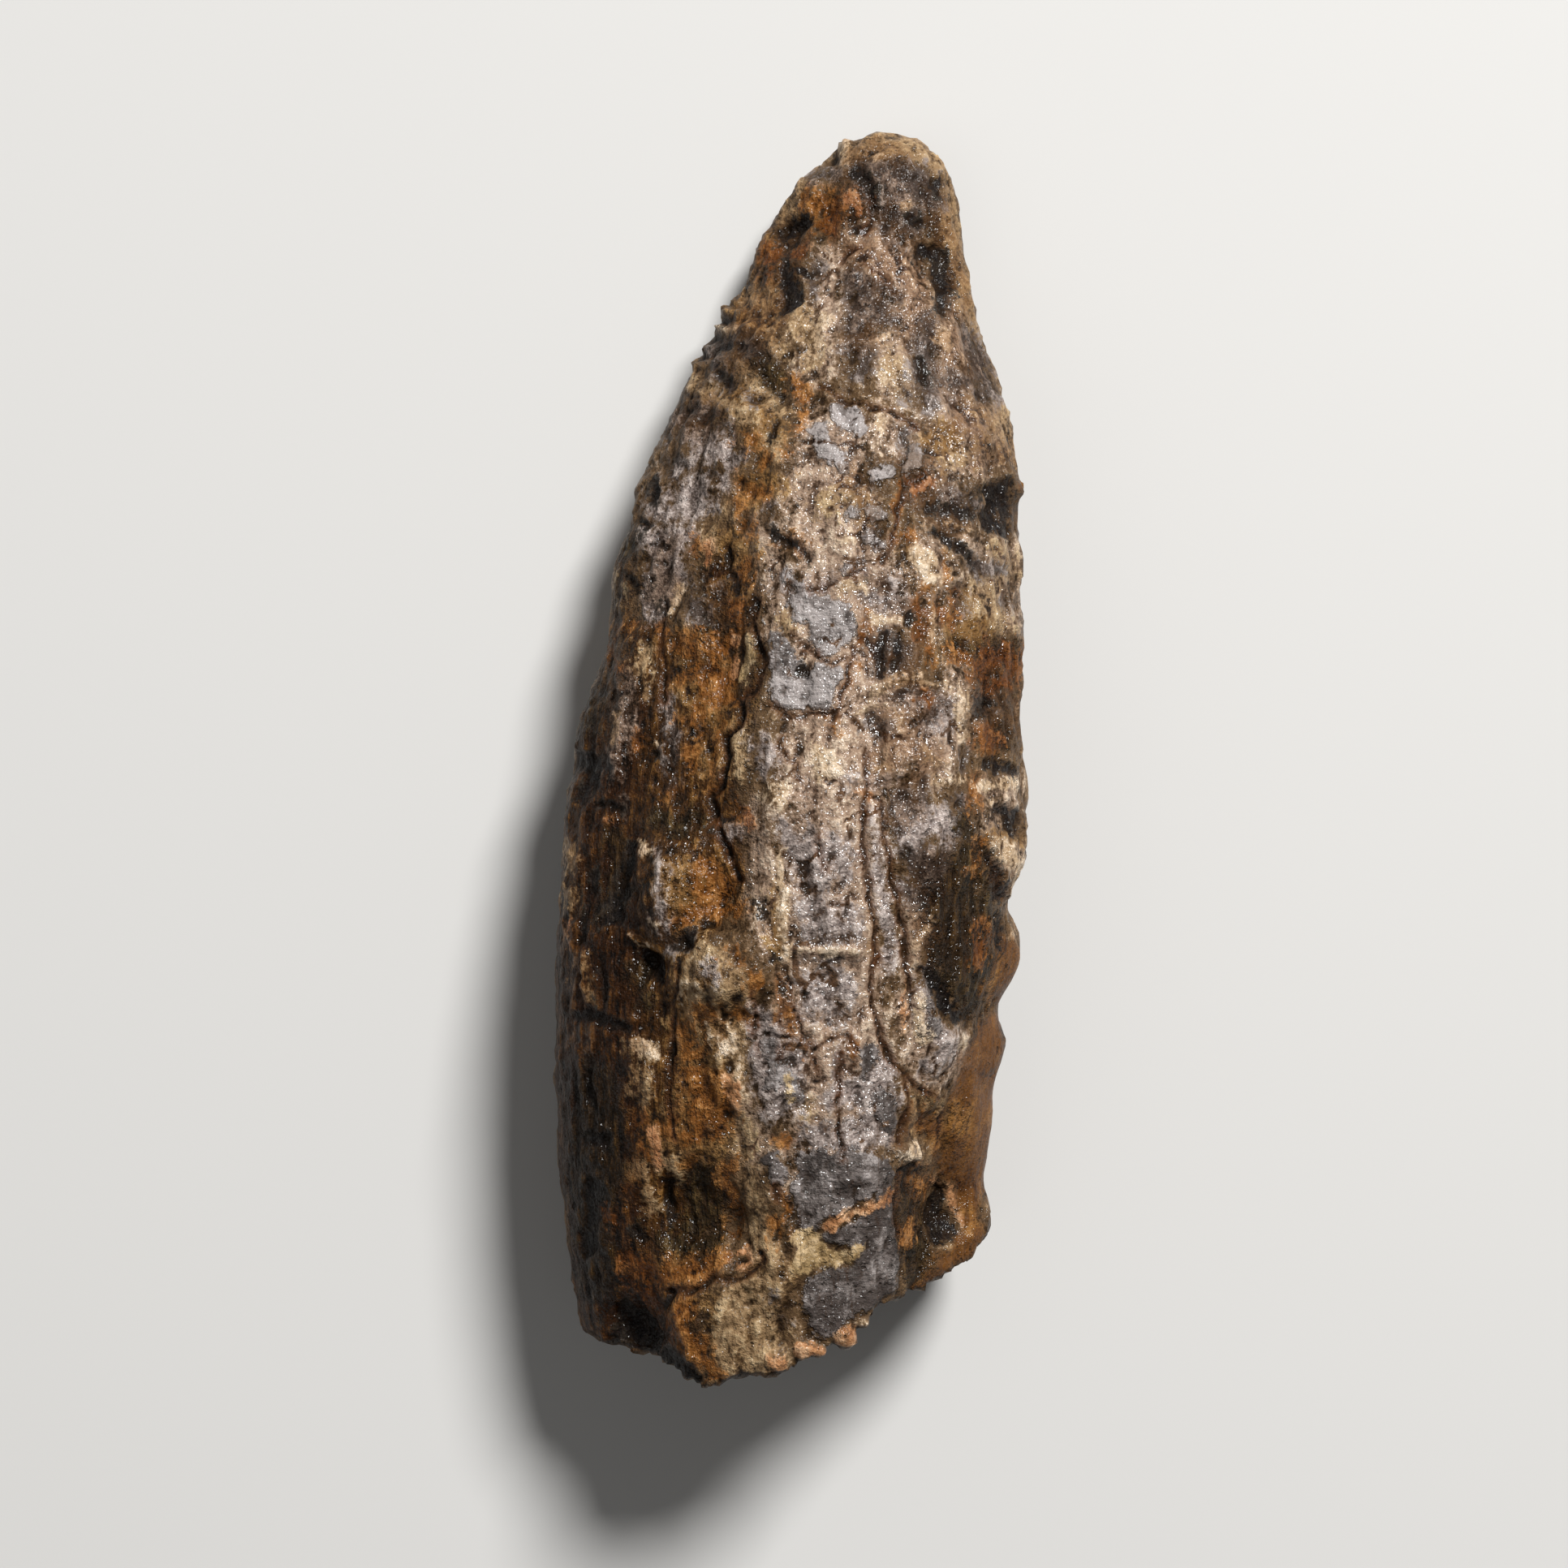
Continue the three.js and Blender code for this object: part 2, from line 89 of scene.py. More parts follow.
# Every mark is a brush stroke of (x, y, radius) dabs, in tenths of a mm, as that eye sees it.
# Colour marks on the upper face
upperMarks = {
    "enamel": [  # pale pinkish enamel, worn clean
        [(30, 202, 20), (16, 172, 22), (24, 136, 28), (40, 100, 34), (24, 60, 34), (36, 22, 38),
         (24, -30, 33), (23, -80, 32), (24, -130, 32), (22, -180, 32), (26, -220, 30), (10, -250, 16)],
        [(44, 322, 11), (54, 306, 15), (68, 294, 14), (72, 274, 11)],
        [(23, 306, 8), (22, 286, 9), (16, 264, 12), (16, 246, 11)], [(59, 248, 13), (64, 232, 10)],
        [(96, 276, 4), (106, 262, 7), (94, 252, 8)],
        [(92, 210, 13), (106, 202, 15), (92, 188, 12), (112, 184, 9), (119, 210, 7)],
        [(84, 126, 13), (82, 104, 10), (86, 84, 6)], [(84, 6, 20), (100, 28, 9), (100, 50, 7)],
        [(72, -90, 6), (72, -114, 6), (70, -142, 8), (76, -174, 12), (86, -186, 12)],
        [(122, -18, 6), (134, -18, 5), (120, -44, 5), (126, -58, 7), (135, -60, 7), (132, -76, 5)],
        [(-24, -34, 8), (-18, -60, 9), (-18, -90, 8), (-16, -116, 7)],
        [(-18, 140, 8), (-8, 110, 8), (-12, 82, 5)],
        [(106, 134, 5), (118, 126, 6), (132, 128, 5), (116, 94, 5), (130, 84, 4)],
        [(-26, -216, 7), (-24, -244, 7)], [(94, 230, 8), (104, 216, 12), (116, 202, 12), (110, 186, 9)],
        [(56, 204, 9), (66, 198, 8)], [(94, 128, 5), (96, 106, 5), (95, 88, 4)],
        [(126, 128, 7), (130, 118, 6), (124, 94, 8), (132, 84, 5)],
        [(83, -176, 9), (94, -178, 11), (94, -190, 8), (82, -192, 7)],
    ],
    "washAndShade": [  # a thin brown film that dulls what lies under it, and painted shade where the light falls off towards the tip, the right edge and down the front flank
        [(94, 246, 9), (108, 216, 12), (116, 186, 10)], [(64, 96, 7), (84, 86, 8), (68, 60, 10)],
        [(60, 26, 9), (80, 4, 11), (66, -30, 10)], [(-46, 120, 10), (-44, 90, 10)],
        [(38, 174, 9), (52, 140, 8)], [(50, 360, 23), (50, 334, 26), (50, 295, 16)],
        [(64, 324, 13), (74, 294, 13), (70, 266, 10)], [(0, 320, 15), (-10, 290, 15), (-30, 250, 15)],
        [(126, 154, 9)], [(122, 60, 14), (123, 20, 14)], [(84, -66, 14), (94, -110, 22)],
        [(-78, 128, 9), (-80, 104, 9)], [(-56, 210, 14)], [(130, 190, 8)],
        [(84, 350, 10), (94, 310, 11), (98, 280, 10)], [(30, 330, 14)], [(76, 176, 14), (96, 146, 12)],
        [(50, 70, 10), (80, 34, 12), (54, -6, 10)], [(86, 270, 12), (110, 240, 10)],
        [(50, 290, 14), (40, 260, 12)],
        [(-106, 40, 16), (-114, -20, 18), (-115, -100, 22), (-120, -200, 26), (-115, -300, 28),
         (-96, -355, 24)],
    ],
    "lilac": [  # grey-lilac bloom, with some strokes that are painted highlights and glints
        # painted glints in the dark patch at the tip: both strokes below
        [(60, 349, 3.5), (66, 344, 4)], [(52, 336, 3)],
        [(-86, 136, 9), (-74, 132, 10), (-76, 116, 12), (-82, 100, 9)], [(93, -44, 6), (84, -54, 4)],
        [(64, -76, 3)], [(-76, 164, 6), (-86, 156, 4)], [(-44, 170, 5)], [(-52, 196, 8), (-46, 190, 5)],
        [(-58, 167, 9), (-66, 159, 9), (-52, 158, 6)], [(-84, 156, 5), (-76, 152, 5)],
        [(-69, 138, 7), (-80, 134, 9), (-76, 122, 11), (-76, 110, 10), (-84, 100, 8), (-86, 90, 5)],
        # painted highlight: a streak down the ridge at the front
        [(-102, 46, 3), (-103, 32, 3.5), (-104, 16, 3), (-114, -12, 2.5)],
        [(10, -46, 7), (6, -62, 8), (24, -56, 9), (30, -70, 7)], [(10, -90, 8), (30, -92, 8)],
        [(6, -136, 6), (18, -149, 8), (29, -156, 7)], [(49, -36, 3), (51, -60, 4), (60, -126, 3.5)],
        [(79, -144, 4), (83, -164, 7), (92, -176, 7), (83, -188, 5)],
        [(-15, -170, 10), (-7, -194, 11), (4, -184, 8), (-12, -214, 8)],
        [(32, -204, 10), (46, -196, 11), (56, -214, 9), (44, -230, 10), (8, -234, 8)],
        [(-17, 12, 5), (-16, -4, 5)], [(-39, -43, 3.5)],
        # painted highlight: the first stroke below, a streak down the front flank
        [(-81, -56, 1.2), (-81, -74, 2.5), (-80, -94, 3), (-79, -108, 2.5)], [(58, 97, 5), (42, 104, 5)],
        # painted highlight: the third stroke below, on top of a mound
        [(62, 318, 4)], [(98, 224, 4)], [(-52, -129, 2), (-47, -133, 1.5)], [(88, -38, 6), (72, -48, 5)],
        [(58, 109, 6), (63, 102, 9), (58, 94, 5)], [(76, 36, 5), (86, 34, 7), (96, 24, 5), (82, 22, 7)],
        [(-4, 110, 5), (4, 102, 5)], [(12, 107, 2), (26, 112, 2.5), (42, 119, 2)],
        # painted highlight: the first stroke below, along a ridge
        [(33, -13, 1.2), (46, -12, 2), (69, -11, 1.2)], [(90, -40, 7), (96, -50, 5)], [(70, -34, 5)],
        [(-4, -42, 5), (4, -56, 11), (12, -74, 10)], [(16, -98, 10), (30, -102, 8)],
        [(22, -138, 12), (10, -152, 8)], [(-22, -154, 6), (-16, -176, 11), (-18, -196, 9), (-4, -210, 9)],
        [(24, -206, 6), (44, -206, 9), (54, -192, 7)], [(76, -136, 3), (76, -152, 3.5), (82, -166, 4)],
        [(-52, 196, 10)], [(-60, 166, 11)], [(-19, 10, 4.5), (-18, -4, 4)],
    ],
    "flank": [  # bare brown dentine down the front, painted darker as shade on that side, which turns from the light
        [(-125, 30, 14), (-138, -60, 20), (-145, -160, 26), (-145, -280, 26), (-130, -370, 28)],
        [(-102, 80, 12), (-86, 66, 20), (-72, 30, 30), (-95, -20, 36), (-105, -90, 38), (-105, -170, 42),
         (-100, -250, 46), (-95, -320, 42), (-90, -370, 30)],
        [(-38, 75, 12), (-45, 35, 20), (-55, -20, 24), (-50, -70, 22), (-64, -120, 10), (-68, -200, 12),
         (-60, -270, 26)], [(-46, 116, 14), (-26, 95, 9)], [(-99, 136, 5), (-102, 124, 6), (-106, 100, 6)],
        [(69, -254, 6), (74, -280, 10), (75, -310, 10)],
        [(106, -60, 5), (96, -86, 13), (104, -120, 17), (106, -146, 9)],
    ],
    "ochre": [  # warm granular brown
        [(-58, -125, 16), (-56, -150, 18), (-54, -180, 18), (-54, -210, 19), (-56, -236, 16)],
        [(-75, -75, 14), (-55, -80, 18)], [(-55, 65, 18), (-52, 30, 18)], [(-46, 0, 12)], [(-32, -345, 24)],
        [(-15, -315, 12)], [(-85, -240, 12)], [(-70, -316, 10), (-95, -310, 8)],
        [(105, 90, 16), (120, 60, 14)], [(82, -220, 9)], [(-25, 280, 10)], [(-34, 220, 16), (-15, 200, 12)],
        [(-20, 170, 14)], [(-40, 130, 14)], [(-45, 100, 13)], [(18, 340, 12)], [(126, -50, 10)],
        [(-100, -255, 8)], [(93, 195, 15)], [(69, 110, 5), (76, 80, 6)], [(-9, -80, 6), (-9, -120, 5)],
        [(-30, 286, 7), (-20, 274, 8), (-12, 294, 4)], [(-16, 322, 5), (-14, 304, 6)],
        [(68, 138, 5), (68, 126, 4)], [(83, 114, 3), (82, 96, 3.5), (82, 76, 3), (84, 60, 2.5)],
        [(78, -212, 7), (86, -220, 6)], [(49, -94, 1.5), (52, -118, 2)], [(-86, -224, 8), (-88, -242, 9)],
        [(-34, -126, 7), (-32, -144, 6), (-36, -160, 6)], [(-46, 154, 6)],
    ],
    "tan": [  # pale worn patches, and one painted highlight on the rim beside the cavity at the base
        [(-62, -128, 6), (-54, -144, 7), (-47, -158, 6)], [(-38, -124, 5), (-32, -138, 5)],
        [(-46, -166, 3.5), (-45, -184, 2)], [(-34, -174, 4), (-32, -192, 5), (-35, -210, 3.5)],
        [(-60, -172, 2.5), (-59, -190, 1.5)],
        [(34, 369, 4), (50, 380, 9), (68, 380, 9), (86, 370, 8), (94, 350, 6), (108, 285, 8), (113, 268, 6),
         (119, 245, 4), (128, 215, 5), (132, 190, 4)], [(-8, 334, 2.5), (0, 345, 3.5), (10, 355, 3)],
        [(-26, 288, 5), (-15, 288, 5), (-20, 276, 6)], [(-14, 258, 4), (-10, 252, 4)],
        [(-33, 243, 3.5), (-28, 236, 5), (-20, 229, 6), (-12, 219, 5), (-6, 213, 4)], [(-61, 231, 4)],
        [(-52, 226, 5), (-30, 212, 7), (-26, 206, 4)], [(-52, 140, 3.5), (-53, 130, 5), (-55, 120, 3.5)],
        [(-14, 196, 4), (-8, 186, 4)], [(-39, 152, 5), (-50, 153, 4)], [(-108, 114, 2), (-109, 103, 2.5)],
        [(-92, 72, 3), (-93, 54, 3), (-91, 42, 2.5)], [(-33, 16, 4), (-32, 4, 5), (-33, -8, 4.5)],
        [(-137, -54, 2.5), (-138, -66, 3)], [(-138, -80, 3.5), (-137, -90, 2.5)],
        [(-128, -122, 1.2), (-128, -134, 2), (-127, -146, 2)],
        [(-62, -122, 4), (-52, -117, 6), (-40, -120, 7), (-32, -132, 7), (-44, -140, 7), (-56, -144, 6)],
        [(-48, -170, 5), (-40, -175, 4)], [(-30, -164, 5), (-26, -154, 4)],
        [(-30, -220, 4), (-26, -234, 5), (-34, -246, 4)], [(-100, -186, 1.2), (-101, -204, 1.2)],
        [(-88, -194, 1.5), (-89, -210, 1.2)],
        [(-93, -250, 6), (-86, -244, 6), (-76, -247, 5), (-70, -254, 3.5)],
        [(-90, -266, 3), (-87, -276, 3.5)], [(-140, -270, 1.5), (-138, -296, 2)],
        [(-25, -252, 4), (-24, -270, 5), (-24, -288, 5), (-14, -302, 9), (-16, -320, 11)],
        [(-32, -332, 15), (-22, -348, 15), (-41, -346, 10), (-35, -366, 11), (-18, -366, 10)],
        [(6, -209, 4), (8, -220, 4)], [(73, -208, 5), (80, -212, 4)], [(12, 54, 5), (17, 47, 3)],
        # painted highlight: the second stroke below, on the rim beside the cavity
        [(96, -302, 3.5), (88, -312, 3.5)], [(109, -295, 3), (110, -286, 3.5)],
        [(126, 108, 4), (110, 96, 4), (124, 90, 4)], [(112, 112, 4), (134, 114, 3)],
        [(32, 372, 6), (46, 377, 8), (66, 379, 9), (82, 373, 7)],
        [(90, 364, 6), (99, 336, 9), (104, 310, 9), (109, 286, 8), (116, 260, 6)],
        [(4, 276, 7), (10, 260, 10), (12, 246, 7)], [(18, 159, 9), (34, 161, 8), (46, 148, 5)],
        [(58, 250, 5), (62, 238, 8), (68, 226, 5)],
        [(106, 222, 6), (122, 206, 5), (114, 192, 6), (94, 184, 5)], [(32, 109, 5), (42, 105, 4)],
        [(-7, 86, 3.5), (-3, 78, 3)], [(15, 55, 4), (21, 50, 3)], [(94, 130, 2.5), (98, 90, 2.5)],
        [(122, 132, 4), (132, 122, 4), (120, 98, 5), (128, 82, 4)],
        [(104, 42, 1.5), (105, 16, 1.5), (103, -12, 1.5)],
        [(-60, -139, 2.5), (-60, -160, 2.5), (-58, -184, 2)],
        [(-50, -138, 3), (-50, -166, 3), (-46, -186, 2.5)],
        [(-40, -148, 2.5), (-38, -170, 3), (-36, -188, 2.5)], [(-99, -172, 3), (-97, -194, 2.5)],
        [(-90, -178, 3), (-91, -202, 2.5)], [(72, -210, 2.5), (76, -224, 1.5)],
        [(86, -208, 2.5), (89, -228, 1.5)],
    ],
    "smoke": [  # grey and greenish-black stains, and one painted shadow under a ridge
        [(80, 236, 6), (83, 220, 4)], [(65, 361, 7), (74, 359, 8), (88, 354, 5)],
        [(42, 354, 6), (49, 347, 7)], [(69, 339, 4), (74, 332, 7), (67, 330, 4)], [(40, 328, 3.5)],
        [(56, 329, 4)], [(14, 303, 4), (12, 294, 4), (13, 286, 3)],
        [(36, 298, 5), (43, 289, 7), (39, 279, 5), (36, 267, 6), (46, 282, 4)],
        [(53, 290, 4), (62, 286, 4), (52, 280, 3)], [(54, 272, 3), (64, 270, 3)],
        [(36, 252, 4), (42, 244, 5), (34, 239, 3), (48, 249, 3)],
        [(79, 270, 4), (83, 256, 6), (79, 244, 7), (83, 230, 6), (83, 218, 5)],
        [(66, 234, 2), (70, 224, 3)], [(97, 233, 5), (106, 233, 4)],
        [(104, 268, 3), (114, 252, 5), (118, 238, 6), (122, 226, 5), (114, 225, 4)],
        [(10, 360, 2.5), (26, 362, 3.5)], [(12, 354, 3)],
        [(-56, 249, 2), (-46, 256, 4), (-34, 256, 5), (-26, 253, 6), (-20, 247, 5)],
        [(-48, 244, 5), (-44, 236, 5), (-38, 230, 4)], [(-31, 228, 1.5), (-23, 220, 1.5)],
        [(-63, 224, 2.5)], [(-69, 213, 3), (-59, 215, 4), (-50, 214, 3.5)],
        [(-44, 206, 4), (-37, 202, 3.5)], [(-44, 189, 4), (-38, 185, 4)], [(-74, 185, 4), (-68, 181, 3)],
        [(-49, 176, 2.5)], [(-13, 157, 3), (-15, 150, 2.5)], [(-79, 204, 3), (-76, 196, 2)],
        [(-29, 190, 3)], [(80, 189, 2), (78, 182, 2)], [(69, 204, 3), (66, 198, 3)],
        [(98, 164, 4), (107, 163, 5), (102, 159, 4)], [(52, 56, 3), (57, 66, 7), (63, 71, 6), (66, 64, 4)],
        [(86, 26, 5), (90, 19, 4)], [(80, 38, 3)], [(104, 6, 3), (105, -4, 2.5)],
        [(49, 20, 4), (57, 22, 4)], [(66, -24, 6), (59, -30, 3)],
        [(80, -12, 2), (80, -22, 3), (81, -32, 3)], [(99, -27, 3.5)], [(62, -44, 3), (70, -42, 4)],
        [(100, -44, 4), (100, -54, 4)], [(88, -56, 5), (89, -66, 6), (80, -64, 4), (86, -80, 6)],
        [(8, -107, 5), (22, -108, 6), (36, -108, 4)], [(18, -125, 4), (26, -128, 2.5)], [(19, -150, 4)],
        [(26, -183, 3), (28, -194, 3.5)], [(35, -174, 2)],
        [(-77, 36, 3), (-74, 4, 5), (-77, -8, 4.5), (-77, -16, 4)],
        [(-58, 110, 4), (-56, 102, 5), (-59, 92, 6), (-49, 82, 5)], [(-45, 102, 4), (-50, 94, 4)],
        [(-74, -116, 3), (-62, -110, 2.5)], [(-106, -26, 2), (-102, -32, 2.5)],
        [(108, 124, 4), (116, 116, 4), (126, 118, 4)], [(99, 106, 3.5), (101, 90, 3.5)], [(130, 98, 3)],
        [(102, 20, 3), (94, 34, 3)], [(66, 40, 4), (76, 43, 3)], [(-12, -331, 3)],
        [(5, -280, 5), (46, -260, 3)], [(-8, -344, 3)], [(44, -222, 4), (24, -246, 4)],
        [(40, 363, 6), (56, 358, 9), (74, 352, 9), (86, 346, 6)], [(52, 338, 5), (68, 336, 7)],
        [(36, 286, 5), (52, 276, 6)], [(34, 250, 4), (44, 242, 5)],
        [(79, 256, 5), (79, 238, 5), (81, 220, 4)], [(73, 190, 3), (75, 182, 3)],
        [(52, 54, 4), (52, 68, 5), (57, 78, 5), (64, 76, 5), (68, 66, 4), (62, 56, 5)],
        [(47, 26, 4), (52, 19, 5)], [(92, 156, 2.5), (102, 160, 6), (110, 157, 4.5)],
        [(66, -30, 7), (74, -42, 9), (72, -58, 9), (84, -68, 10)], [(69, -80, 6), (82, -86, 6)],
        # painted shadow: the second stroke below, under a ridge
        [(102, -24, 5), (104, -40, 5)], [(7, -122, 3), (22, -123, 4), (36, -122, 3)],
        [(84, -128, 6), (82, -146, 5)], [(-80, 136, 5), (-84, 116, 5)], [(118, 44, 5), (117, 32, 4)],
        [(-46, 214, 4), (-58, 212, 5)], [(-72, 176, 5)],
    ],
    "olive": [  # dark olive-brown dentine
        [(104, -34, 3), (106, -52, 6), (103, -70, 10), (96, -92, 13), (106, -106, 14), (94, -118, 11),
         (108, -128, 10), (94, -134, 7), (106, -148, 7)], [(98, -212, 4), (97, -226, 5), (96, -238, 4)],
        [(79, -284, 5), (77, -302, 7), (74, -318, 6)], [(-92, -128, 5), (-96, -130, 6), (-90, -150, 4)],
        [(-57, -252, 8), (-60, -266, 8), (-56, -280, 10), (-66, -290, 7), (-48, -276, 6), (-45, -266, 4)],
        [(-82, -296, 5), (-68, -299, 6), (-56, -300, 5), (-47, -292, 4)],
        [(-110, -46, 6), (-106, -62, 7), (-108, -76, 7), (-116, -94, 7)],
        [(-122, -200, 14), (-120, -240, 18), (-122, -280, 14), (-118, -320, 12)],
        [(-19, 244, 5), (-13, 238, 6), (-9, 231, 5), (-6, 225, 2.5)], [(-35, -145, 3)],
        [(-18, 70, 2), (-19, 60, 2.5), (-21, 48, 2.5), (-29, 40, 3)], [(117, 52, 4), (115, 32, 3)],
        [(125, 20, 3), (129, 10, 3.5)], [(-63, 60, 3)], [(-48, 59, 2.5)], [(-50, 78, 4), (-44, 75, 2.5)],
        [(-94, -286, 4), (-94, -294, 5)], [(-120, 40, 6), (-124, 22, 6)], [(-76, -194, 2), (-75, -210, 2)],
        [(-60, -34, 6), (-66, -42, 5), (-82, -36, 5)], [(-98, 133, 4), (-101, 126, 4)],
        [(94, -86, 11), (112, -96, 11), (100, -124, 13), (116, -124, 9), (108, -144, 8)],
        [(67, -270, 2.5), (68, -300, 3)], [(74, -270, 2), (75, -300, 2.5)],
        [(92, -212, 1.5), (94, -234, 2)], [(81, -206, 1), (82, -228, 1.2)],
        [(96, 72, 4), (112, 68, 6), (128, 72, 4)], [(115, -50, 2.5), (117, -70, 3), (120, -86, 3)],
        [(112, 166, 3)],
    ],
    "rust": [  # iron stains
        [(12, 346, 5), (20, 342, 8), (25, 346, 4), (18, 332, 7)], [(38, 349, 3), (38, 338, 3.5)],
        [(-16, 312, 5), (-15, 302, 5), (-10, 313, 3)], [(2, 310, 4), (9, 314, 3)],
        [(2, 230, 4.5), (5, 223, 4)], [(6, 216, 1.2), (0, 194, 1.7), (-4, 184, 1.2)],
        [(-29, 200, 3), (-24, 196, 2.5)], [(-17, 184, 4), (-21, 179, 2.5)],
        [(-32, 172, 3), (-24, 167, 4), (-16, 166, 3)], [(-34, 158, 2), (-30, 151, 2.5)], [(-28, 144, 5)],
        [(-61, 134, 1.2), (-61, 124, 1.5)], [(-31, 114, 4), (-28, 122, 2.5)], [(-34, 94, 5), (-32, 86, 4)],
        [(65, 170, 2), (72, 172, 3.5), (80, 175, 2.5)], [(66, 162, 1.5), (63, 152, 1.5)],
        [(65, 135, 3), (70, 140, 3.5)], [(75, 102, 2.5), (76, 90, 2.5), (78, 78, 2)],
        [(90, 100, 2.5), (92, 92, 3), (90, 86, 2)], [(82, 66, 1.5), (83, 56, 2)],
        [(97, 69, 3.5), (98, 62, 2.5)], [(80, 42, 1.5), (82, 32, 1.7)],
        [(116, 64, 8), (128, 63, 8), (136, 64, 5)], [(122, 46, 5), (132, 50, 4)],
        [(117, 18, 3.5), (118, 10, 5.5), (123, 6, 4.5)], [(91, 126, 2), (93, 116, 2)],
        [(-68, 70, 7), (-58, 68, 8), (-42, 69, 8), (-37, 77, 5)],
        [(-52, 56, 9), (-66, 52, 6), (-42, 50, 8), (-54, 42, 8), (-37, 36, 5)],
        [(-65, 25, 4), (-56, 18, 5), (-59, 33, 4)], [(-63, 6, 3.5), (-63, -3, 3)],
        [(-72, -20, 2), (-78, -21, 2.5)], [(-98, 83, 2)], [(-92, 10, 3.5)], [(-83, 80, 3), (-78, 79, 3.5)],
        [(-117, 73, 4), (-113, 58, 4)], [(-44, 26, 2.5), (-49, -2, 2.5), (-47, -18, 2.5)],
        [(-36, -25, 2.5), (-32, -30, 2.5), (-36, -35, 2)], [(113, -10, 2), (112, -20, 2.5), (110, -30, 2)],
        [(115, -50, 2), (114, -66, 2)], [(-54, -66, 7), (-44, -80, 10), (-56, -92, 7), (-36, -92, 6)],
        [(-68, -100, 5)], [(-36, -118, 4), (-29, -126, 4), (-22, -136, 3.5)],
        [(-54, -153, 5), (-46, -160, 4), (-32, -156, 4)], [(-66, -164, 4), (-64, -182, 5), (-56, -180, 4)],
        [(-62, -200, 8), (-52, -206, 8), (-60, -218, 8), (-48, -226, 7), (-66, -232, 6), (-44, -212, 5)],
        [(-74, -222, 2.5), (-79, -228, 3.5), (-84, -222, 2.5)],
        [(-101, -306, 5), (-90, -313, 7), (-76, -317, 8), (-60, -313, 8), (-48, -309, 6), (-40, -305, 4)],
        [(-37, -292, 3), (-36, -274, 4), (-41, -258, 5), (-38, -248, 3.5)],
        [(-59, -242, 3), (-66, -248, 2.5)],
        [(-67, -335, 5), (-69, -348, 6), (-62, -359, 6), (-54, -369, 5), (-49, -379, 4)],
        [(-90, -328, 6), (-82, -336, 4)], [(-102, -320, 4)], [(-3, -232, 3.5), (-8, -231, 2)],
        [(-4, -272, 2), (-6, -286, 2.5)], [(-118, -276, 3), (-109, -282, 4)], [(-102, -264, 3)],
        [(76, -214, 3), (80, -222, 4)], [(-9, -134, 2), (-4, -148, 2.5), (-2, -164, 2)],
        [(10, -184, 2), (14, -192, 2)], [(38, -176, 1.2), (37, -188, 1.2)],
        [(73, -255, 1), (73, -267, 1.2)], [(80, -253, 1), (81, -267, 1.2)],
        [(70, -282, 1.4), (69, -298, 1.2)], [(12, 344, 7), (22, 338, 9), (20, 326, 6)],
        [(100, 64, 5), (114, 60, 6), (132, 60, 6)], [(106, 52, 3), (128, 50, 4)],
        [(64, 136, 3), (70, 136, 3.5)], [(81, 112, 1.2), (81, 96, 1.5), (82, 80, 1.2)],
        [(97, 104, 2), (97, 88, 2.5)], [(46, 90, 0.8), (42, 74, 1), (26, 32, 1), (23, 20, 0.8)],
        [(-6, 134, 5), (4, 130, 4)], [(120, 14, 4), (122, 6, 3.5)], [(116, -106, 4), (112, -122, 5)],
        [(-5, -230, 3), (-3, -235, 3)], [(-64, -192, 7), (-50, -198, 8), (-42, -216, 7), (-56, -224, 9)],
        [(-92, -222, 4), (-88, -246, 4)], [(-60, -76, 7), (-50, -90, 8), (-64, -94, 5)],
        [(-44, -150, 2.5), (-44, -172, 2.5)], [(-55, -154, 2), (-54, -176, 2)],
        [(-10, -140, 2.5), (-6, -156, 2)], [(-9, -284, 3), (-6, -294, 2)],
    ],
    "slate": [  # flakes of the glossy outer skin
        [(6, -246, 7), (20, -252, 12), (44, -252, 12), (54, -256, 8)],
        [(7, -266, 9), (9, -282, 8), (24, -266, 10), (42, -262, 8)],
        [(53, -280, 8), (46, -294, 14), (50, -310, 12), (46, -326, 12), (30, -328, 12), (16, -334, 10)],
        [(28, -319, 7), (12, -324, 5)], [(-9, 75, 4.5), (-6, 66, 7), (-4, 50, 10)],
        [(9, 100, 5), (14, 92, 8), (26, 90, 9)], [(26, 215, 5), (34, 210, 9.5), (39, 204, 7)],
        [(16, 201, 5.5), (20, 191, 7), (29, 184, 4.5)], [(51, 175, 6), (58, 177, 5)],
        [(75, 189, 4), (75, 182, 4.5), (70, 180, 2.5)], [(49, 153, 4.5), (55, 151, 4)], [(36, 152, 4)],
        [(47, 138, 5), (52, 132, 5)], [(-2, 113, 3), (4, 106, 4.5), (4, 96, 5), (6, 89, 4)],
        [(17, 93, 8), (21, 84, 11), (20, 73, 9), (32, 86, 6), (33, 76, 5)],
        [(36, 118, 3.5), (30, 114, 2.5)],
        [(-9, 72, 3), (-8, 58, 7), (-1, 43, 12), (15, 40, 10), (16, 52, 9), (26, 53, 5)],
        [(52, 349, 4), (55, 343, 3)],
        [(16, -256, 14), (34, -252, 14), (50, -254, 10), (12, -272, 12), (26, -268, 12)],
        [(55, -266, 6), (56, -280, 6)],
        [(48, -288, 12), (52, -302, 12), (50, -320, 12), (34, -326, 15), (16, -332, 11), (18, -346, 9),
         (32, -338, 8)], [(24, -292, 5), (34, -290, 6)], [(69, -242, 5), (73, -238, 3.5)],
        [(-16, -174, 5), (-10, -184, 6), (-12, -198, 5)], [(0, -204, 4), (-4, -192, 4)],
        [(-14, -246, 5), (-8, -254, 5)], [(46, -180, 5), (42, -192, 4)], [(54, -208, 6), (58, -222, 5)],
        [(83, -148, 3), (83, -166, 3.5)],
    ],
    "cream": [  # chips down to clean pale enamel, with some strokes that are painted highlights and glints on ridges and crests
